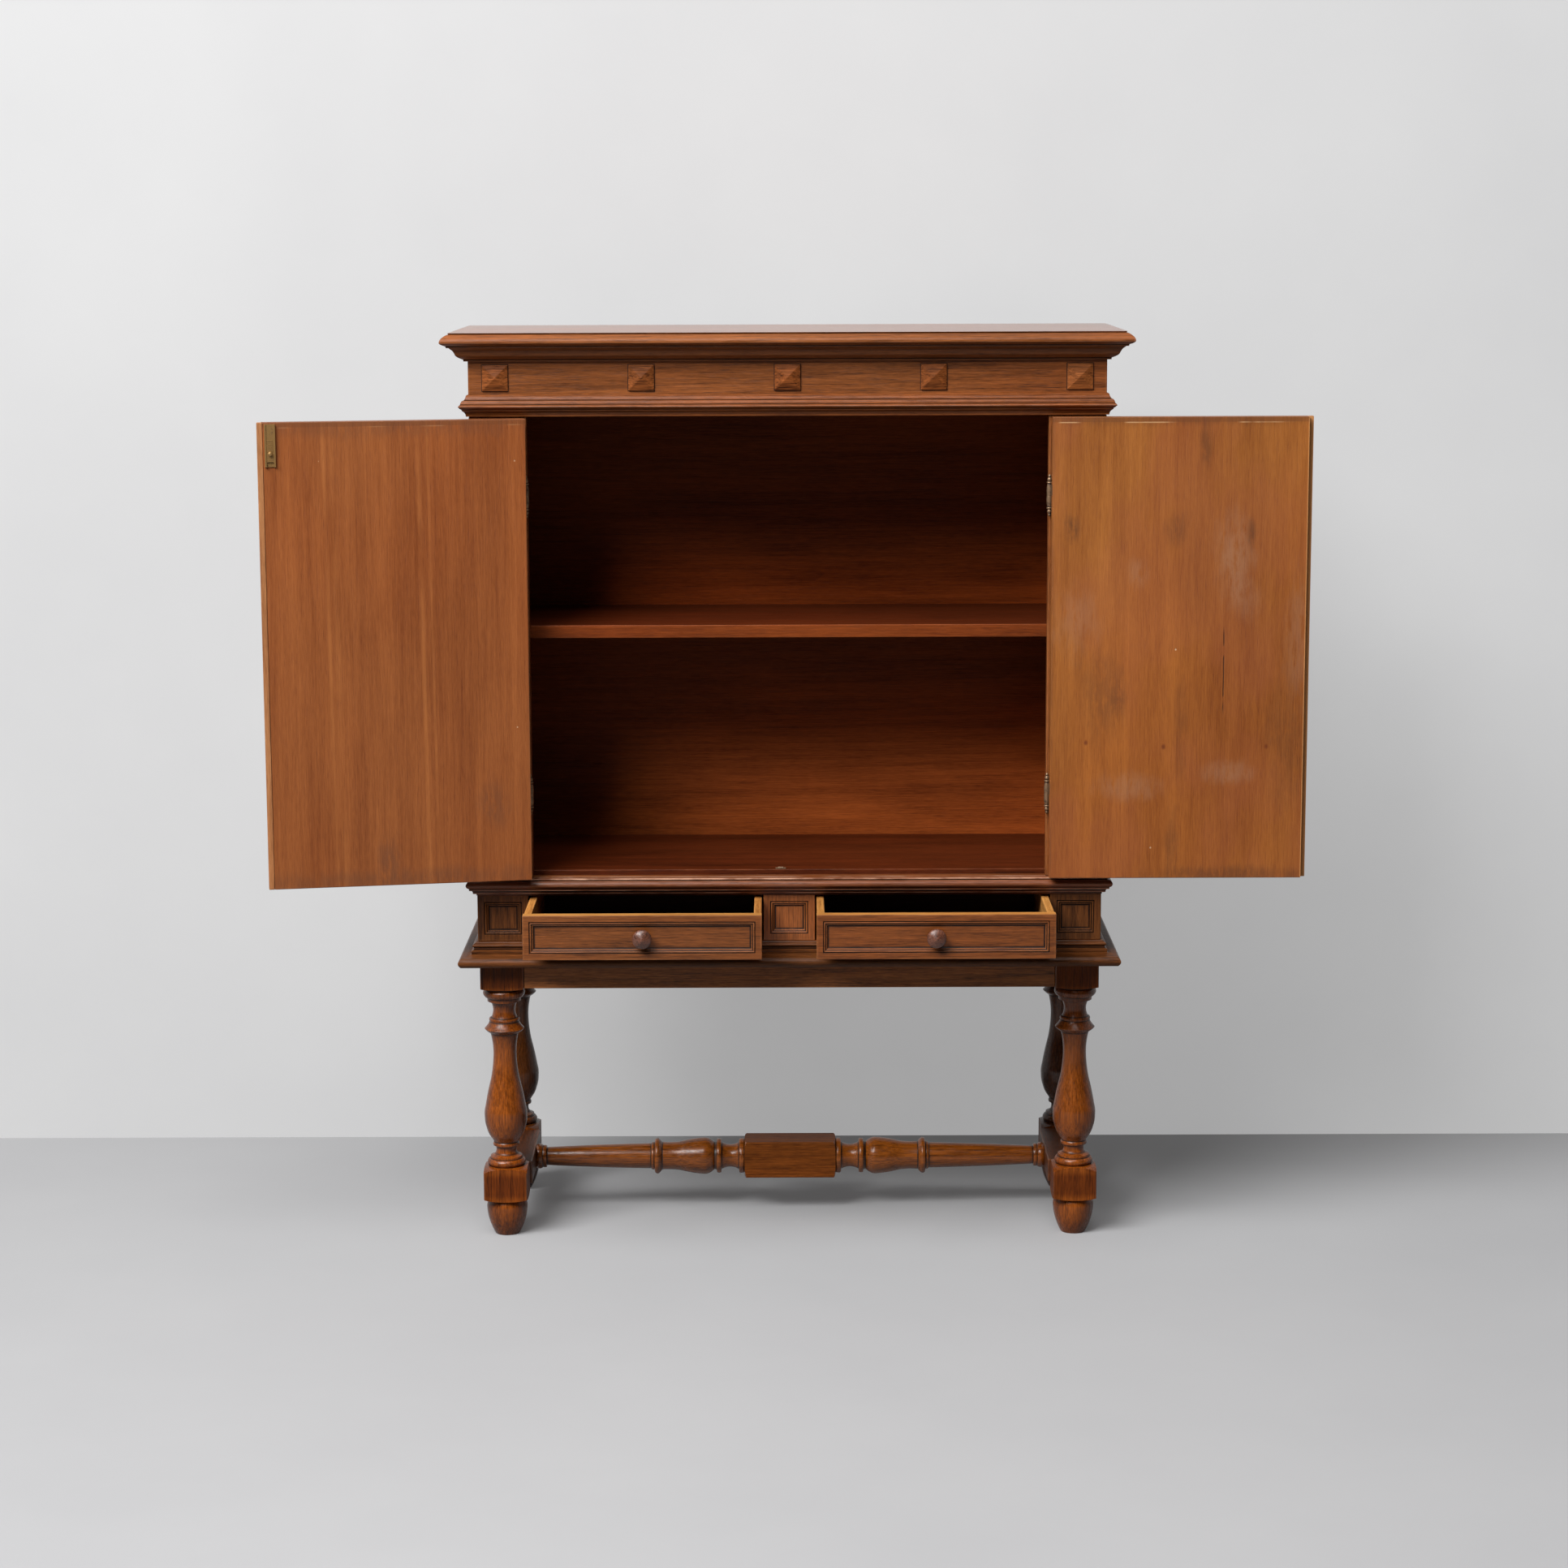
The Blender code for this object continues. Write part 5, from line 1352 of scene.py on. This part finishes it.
RIGHT_DOOR_KNOTS = (
    (0.222, 0.057, 0.005, 0.004, 0.80),
    (0.215, 0.182, 0.005, 0.004, 0.80),
    (0.215, 0.347, 0.005, 0.004, 0.80),
)


def right_door_marks(bare, colour, low_side, place):
    """Uneven fading, grey bloom, water stains, old knots, a long split, pale nicks, and painted
    light on the rebate step.
    """
    up, over, _ = low_side.parts()
    faded = place.noise(4.2, 6.4, 3.0).between(0.42, 0.60)
    colour = colour.mixed(FADED_PATCH, faded * 0.22)
    colour = patched(colour, low_side, place, GREY_BLOOM, RIGHT_DOOR_BLOOM, ragged=1.4)
    colour = patched(colour, low_side, place, WATER_STAIN, RIGHT_DOOR_STAINS)
    colour = patched(colour, low_side, place, OLD_KNOT, RIGHT_DOOR_KNOTS, ragged=0.4)
    wander = over - 0.2765 + 0.004 * (place.noise(9.0, 1.0, 3.0) - 0.5)
    length = up.between(0.262, 0.285) * up.between(0.412, 0.392)
    broken = place.noise(30.0, 2.0).between(0.32, 0.44)
    crack = wander.size().between(0.0013, 0.0003) * length * broken
    colour = banded_top(colour.mixed(SPLIT_COLOUR, crack * 0.9), up, place, glue=0.60)
    # Painted light: a pale line on the rebate step, which lies in shade.
    rebate_lit = over.between(DOOR_WIDTH - 0.0100, DOOR_WIDTH - 0.0090)
    colour, dents = nicked(bare, colour.mixed(REBATE_PAINTED_LIGHT, rebate_lit * 0.7), place, spare=0.60)
    return colour, dents + 3.0 * crack


LEFT_DOOR_STAIN = ((96, 40, 10), (134, 68, 28), (172, 102, 52))
RIGHT_DOOR_STAIN = ((104, 48, 14), (152, 82, 29), (186, 116, 52))
LIPPING_STAIN = ((122, 66, 30), (170, 105, 60), (206, 146, 96))
DOOR_TIMBER = dict(figure=0.06, pore=0.11, rub_and_sheen=0.45, gloss=0.46, shine=0.30)
left_door_wood = timber(
    "left_door_inside", LEFT_DOOR_STAIN, **DOOR_TIMBER, pith=(0.600, 0.100), ring=0.0130,
    streak=0.36, cloud=0.60, broad=0.62, wear_and_sheen_tone=(118, 74, 46), marks=left_door_marks,
)
right_door_wood = timber(
    "right_door_inside", RIGHT_DOOR_STAIN, **DOOR_TIMBER, pith=(0.000, 0.070), ring=0.0150,
    streak=0.33, cloud=0.95, broad=0.42, wear_and_sheen_tone=(112, 72, 44), marks=right_door_marks,
)
for side, sign, finish in (("left", -1, left_door_wood), ("right", 1, right_door_wood)):
    door = "door_" + side
    opened = door_frame(side)
    low, high = own_box(door, opened)
    shape = eased_box(low, high, DOOR_EASE)
    sink_panel(shape, DOOR_BORDER)
    cuts = leaf_pockets(side, sign, True)
    if side == "left":
        lip_low, lip_high = own_box("door_left_lipping", opened)
        seat = Vector((LIP_SEAM, LIP_SEAM, CUT_SPARE))
        cuts.append((lip_low - seat, lip_high + seat + Vector((0.0, CUT_SPARE, 0.0))))
    else:
        step = LIP_OVERLAP + LIP_REBATE_CLEARANCE
        deep = high.y - LIP_THICKNESS - LIP_REBATE_CLEARANCE
        rebate_low = Vector((low.x - CUT_SPARE, deep, low.z - CUT_SPARE))
        rebate_high = Vector((low.x + step, high.y + CUT_SPARE, high.z + CUT_SPARE))
        cuts.append((rebate_low, rebate_high))
    mesh = cut_boxes(mesh_of(shape, door), cuts)
    lay_grain(mesh, "Z", low, high, mirrored=side == "right")
    inner_y = low.y + DOOR_PANEL_DEPTH
    put(
        door, mesh, [finish, case_walnut], "door_wood", side + "_door", opened,
        second=lambda face: face.normal.y < -0.3 or face.center.y < inner_y,
    )

opened = door_frame("left")
low, high = own_box("door_left_lipping", opened)
mesh = mesh_of(eased_box(low, high, LIP_EASE), "door_left_lipping")
lay_grain(mesh, "Z", low, high)
lipping_wood = timber(
    "lipping_wood", LIPPING_STAIN, pith=(0.020, 0.040), ring=0.0080, figure=0.10, streak=0.55,
    pore=0.07, cloud=0.5, rub_and_sheen=0.35, wear_and_sheen_tone=(112, 74, 48), gloss=0.46, shine=0.30,
)
put("door_left_lipping", mesh, [lipping_wood], "door_wood", "left_door", opened)

# Bolt
# A small brass bolt on the inside of the left door's top corner: a folded channel screwed to the
# wood, and a bar with a ribbed grip and a round stud that slides up into a notch in the ceiling.
# The cupboard's ceiling is fitted here too, because its notch is cut to the bolt.
BOLT_EASE = 0.00025
BOLT_PLATE_THICKNESS = 0.0012
BOLT_LIP_THICKNESS = 0.0008
BOLT_PLAY = 0.0003
BOLT_SCREW_RADIUS = 0.0016
RIB_COUNT = 6
RIB_PITCH = 0.0032
RIB_HALF = RIB_PITCH * 0.32
RIB_HEIGHT = 0.0006
RIB_WIDTH = 0.0088
RIB_EASE = 0.0003
RIB_FROM_TOP = 0.026
GRIP_ROOT = 0.0004
STUD_RADIUS = 0.0036
STUD_NECK = 0.0022
STUD_HEIGHT = 0.0052
STUD_FROM_TOP = 0.046
STUD_FACETS = 32
STUD_TURNING = (
    (STUD_HEIGHT, 0.0),
    (STUD_HEIGHT - 0.0004, STUD_NECK * 0.8),
    (STUD_HEIGHT * 0.82, STUD_RADIUS * 0.82),
    (STUD_HEIGHT * 0.55, STUD_RADIUS),
    (STUD_HEIGHT * 0.30, STUD_RADIUS * 0.85),
    (STUD_HEIGHT * 0.12, STUD_NECK),
    (-GRIP_ROOT, STUD_NECK),
    (-GRIP_ROOT, 0.0),
)
bolt_brass = old_metal(
    "bolt_brass", bright=(158, 121, 72), dull=(86, 62, 42), gloss=0.34, tarnish=0.08, metal=0.5
)


def softened(node, matrix, ease, weld=0.00001, flat_deg=2, sharp_deg=40):
    """A copy of a small metal solid in the axes of what carries it, with its arrises broken."""
    shape = bmesh.new()
    shape.from_mesh(frame["nodes"][node].data)
    bmesh.ops.transform(shape, matrix=matrix.inverted(), verts=shape.verts)
    bmesh.ops.remove_doubles(shape, verts=shape.verts, dist=weld)
    flat = dict(angle_limit=math.radians(flat_deg), use_dissolve_boundaries=False)
    bmesh.ops.dissolve_limit(shape, verts=shape.verts, edges=shape.edges, **flat)
    angle = math.radians(sharp_deg)
    sharp = [edge for edge in shape.edges if edge.calc_face_angle(0.0) > angle]
    ease_edges(shape, sharp, ease, 2, clamp=True)
    return mesh_of(shape, node)


channel_low, channel_high = own_box("bolt_channel", opened)
mesh = softened("bolt_channel", opened, BOLT_EASE)
lay_grain(mesh, "Z", channel_low, channel_high)
put("bolt_channel", mesh, [bolt_brass], "aged_brass", "left_door", opened)

low, high = own_box("bolt_slide", opened)
face_y = channel_high.y - BOLT_LIP_THICKNESS - BOLT_PLAY
plate_y = channel_low.y + BOLT_PLATE_THICKNESS
tail_z = (channel_low.z + low.z) / 2
middle_x = (low.x + high.x) / 2
bar = eased_box(low, Vector((high.x, face_y, high.z)), BOLT_EASE, 2)
bolt_parts = [mesh_of(bar, "bar")]
for rib in range(RIB_COUNT):
    base = high.z - RIB_FROM_TOP - rib * RIB_PITCH
    rib_low = Vector((middle_x - RIB_WIDTH / 2, face_y - GRIP_ROOT, base - RIB_HALF))
    rib_high = Vector((middle_x + RIB_WIDTH / 2, face_y + RIB_HEIGHT, base + RIB_HALF))
    bolt_parts.append(mesh_of(eased_box(rib_low, rib_high, RIB_EASE, 2), "rib"))
stud = lathe(STUD_TURNING, STUD_FACETS, "stud")
stud_spot = Matrix.Translation((middle_x, face_y, high.z - STUD_FROM_TOP))
stud.transform(stud_spot @ Matrix.Rotation(math.radians(-90), 4, "X"))
mesh = joined("bolt_slide", bolt_parts + [stud])
lay_grain(mesh, "Z", low, high)
put("bolt_slide", mesh, [bolt_brass], "aged_brass", "door_bolt", opened)

NOTCH_CLEARANCE = 0.0015
NOTCH_SPARE = 0.005
ceiling_low, ceiling_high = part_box("cabinet_ceiling")
hung = opened.translation
notch_low = Vector(
    (hung.x + low.x - NOTCH_CLEARANCE, ceiling_low.y - NOTCH_SPARE, ceiling_low.z - NOTCH_SPARE)
)
notch_back = hung.y + face_y + NOTCH_CLEARANCE
notch_high = Vector((hung.x + high.x + NOTCH_CLEARANCE, notch_back, ceiling_high.z + NOTCH_SPARE))
notch = (notch_low, notch_high)
plank("cabinet_ceiling", "X", [inner_wood], cuts=[notch], slot="inner_wood")
bolt_screw = screw_at((middle_x, plate_y, tail_z), (0.0, 1.0, 0.0), BOLT_SCREW_RADIUS, 0.6)
fit_screws("bolt_screw", [bolt_screw], bolt_brass, opened, "left_door")

# Catch
# A thin brass plate with a roller, screwed to the front edge of the cupboard floor where the
# doors meet.
CATCH_PLATE = 0.0012
CATCH_EASE = 0.0002
CATCH_SCREW_INSET = 0.0020
CATCH_SCREW_RADIUS = 0.0012
low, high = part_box("floor_catch")
mesh = softened("floor_catch", Matrix.Identity(4), CATCH_EASE)
lay_grain(mesh, "X", low, high)
put("floor_catch", mesh, [hinge_brass], "aged_brass")
catch_y = (low.y + high.y) / 2
catch_screws = [
    screw_at((x, catch_y, low.z + CATCH_PLATE), (0.0, 0.0, 1.0), CATCH_SCREW_RADIUS, turn)
    for x, turn in ((low.x + CATCH_SCREW_INSET, 0.4), (high.x - CATCH_SCREW_INSET, 1.9))
]
fit_screws("catch_screws", catch_screws, hinge_brass, Matrix.Identity(4), "carcass")

# Floor and wall
# A plain pale floor and a plain pale wall behind, with a soft light from high on the left. The
# room in front of the cabinet is dim, so its polish shows the floor and the wall and little else.
WALL_Y = 0.555
STAGE_HALF = 9.0
WALL_HEIGHT = 6.0
FLOOR_GREY = (0.42, 0.42, 0.425, 1.0)
WALL_GREY = (0.76, 0.76, 0.76, 1.0)
MOTTLE = (0.86, 0.86, 0.87, 1.0)
FLOOR_SHADE = (0.25, 0.25, 0.25, 1.0)
WALL_SHADE = (0.43, 0.43, 0.43, 1.0)
BLACK = (0.0, 0.0, 0.0, 1.0)
FLOOR_GLOW = 0.16
WALL_GLOW = 0.51
STAGE_ROUGHNESS = 0.75


def rays_that_see(bare):
    """Rays from the camera, and rays from polish, metal or glass."""
    rays = bare.node("ShaderNodeLightPath", {}, {}).socket.node.outputs
    camera, glossy, through = [
        Wire(bare.tree, rays[f"Is {kind} Ray"]) for kind in ("Camera", "Glossy", "Transmission")
    ]
    return camera, glossy.at_least(through)


def stage_plane(name, near, far, colour, backdrop):
    """A plain painted surface of the studio, from a near edge (y, z) to a far one."""
    corners = [(-STAGE_HALF, *near), (STAGE_HALF, *near), (STAGE_HALF, *far), (-STAGE_HALF, *far)]
    mesh = bpy.data.meshes.new(name)
    mesh.from_pydata(corners, [], [(0, 1, 2, 3)])
    made = bpy.data.objects.new(name, mesh)
    bpy.context.scene.collection.objects.link(made)
    material, shader, bare = blank_finish(name)
    spot = bare.node("ShaderNodeTexCoord", {}, {}, "Object")
    mottle = spot.noise(1.3, 1.3, 5.0, 0.6) - 0.5
    paint = bare.node("ShaderNodeRGB", {}, {})
    paint.socket.default_value = colour
    shade = paint.mixed(MOTTLE, 0.5 + mottle, "MULTIPLY")
    shader.inputs["Roughness"].default_value = STAGE_ROUGHNESS
    shader.inputs["Emission Strength"].default_value = WALL_GLOW if backdrop else FLOOR_GLOW
    camera_ray, mirrored = rays_that_see(bare)
    seen = camera_ray.at_least(mirrored)
    if backdrop:
        shade.mixed(WALL_SHADE, 1.0, "MULTIPLY").drive(shader, "Base Color")
        shade.drive(shader, "Emission Color")
        front = 1.0 - bare.node("ShaderNodeNewGeometry", {}, {}, "Backfacing")
        clear = bare.node("ShaderNodeBsdfTransparent", {}, {})
        painted = Wire(bare.tree, shader.outputs[0])
        facing = bare.node("ShaderNodeMixShader", {}, {0: seen * front, 1: clear, 2: painted})
        facing.drive(material.node_tree.nodes["Material Output"], "Surface")
    else:
        dim = paint.mixed(FLOOR_SHADE, 1.0, "MULTIPLY")
        dim.mixed(shade, seen).drive(shader, "Base Color")
        shade.mixed(BLACK, 1.0 - seen).drive(shader, "Emission Color")
    mesh.materials.append(material)


stage_plane("pale_floor", (-STAGE_HALF, 0.0), (STAGE_HALF, 0.0), FLOOR_GREY, False)
stage_plane("pale_wall", (WALL_Y, 0.0), (WALL_Y, WALL_HEIGHT), WALL_GREY, True)

AMBIENT = {"Color": (1.0, 0.96, 0.92, 1.0), "Strength": 0.04}
BACKDROP = {"Color": (0.80, 0.80, 0.80, 1.0), "Strength": 1.0}
world = bpy.data.worlds.new("studio")
bpy.context.scene.world = world
world.use_nodes = True
sky = Wire(world.node_tree)
ambient = sky.node("ShaderNodeBackground", {}, AMBIENT)
backdrop = sky.node("ShaderNodeBackground", {}, BACKDROP)
camera_ray, mirrored = rays_that_see(sky)
behind = sky.node("ShaderNodeTexCoord", {}, {}, "Generated").parts()[1].between(-0.5, 0.3)
seen = camera_ray.at_least(mirrored * behind)
mix = sky.node("ShaderNodeMixShader", {}, {0: seen, 1: ambient, 2: backdrop})
mix.drive(world.node_tree.nodes["World Output"], "Surface")


def soft_light(name, spot, aim, size, power):
    """A large soft light aimed at a point."""
    lamp = bpy.data.lights.new(name, "AREA")
    lamp.shape = "RECTANGLE"
    lamp.size, lamp.size_y = size
    lamp.energy = power
    made = bpy.data.objects.new(name, lamp)
    made.location = spot
    made.rotation_euler = (Vector(aim) - Vector(spot)).to_track_quat("-Z", "Y").to_euler()
    bpy.context.scene.collection.objects.link(made)


WINDOW = dict(spot=(-3.8, -4.8, 6.2), aim=(0.0, 0.0, 0.8), size=(5.0, 3.2), power=840.0)
CEILING = dict(spot=(-0.8, -2.6, 6.2), aim=(0.0, -0.3, 0.8), size=(4.0, 3.0), power=190.0)
soft_light("window_light", **WINDOW)
soft_light("ceiling_light", **CEILING)

# Camera
# At eye height in front of the cabinet, a little above its top, looking slightly down at it. Its
# place, tilt and lens were fitted to the photograph.
CAMERA_SPOT = (0.0, -5.6516, 1.677)
CAMERA_LENS = 79.77
CAMERA_SENSOR = 36.0
CAMERA_PITCH = math.radians(80.66)
CAMERA_YAW = 0.0014
CAMERA_ROLL = -0.0035
lens = bpy.data.cameras.new("camera")
lens.lens = CAMERA_LENS
lens.sensor_width = CAMERA_SENSOR
camera = bpy.data.objects.new("camera", lens)
bpy.context.scene.collection.objects.link(camera)
camera.matrix_world = (
    Matrix.Translation(CAMERA_SPOT)
    @ Matrix.Rotation(CAMERA_YAW, 4, "Z")
    @ Matrix.Rotation(CAMERA_PITCH, 4, "X")
    @ Matrix.Rotation(CAMERA_ROLL, 4, "Z")
)
bpy.context.scene.camera = camera
bpy.context.scene.view_settings.view_transform = "Standard"
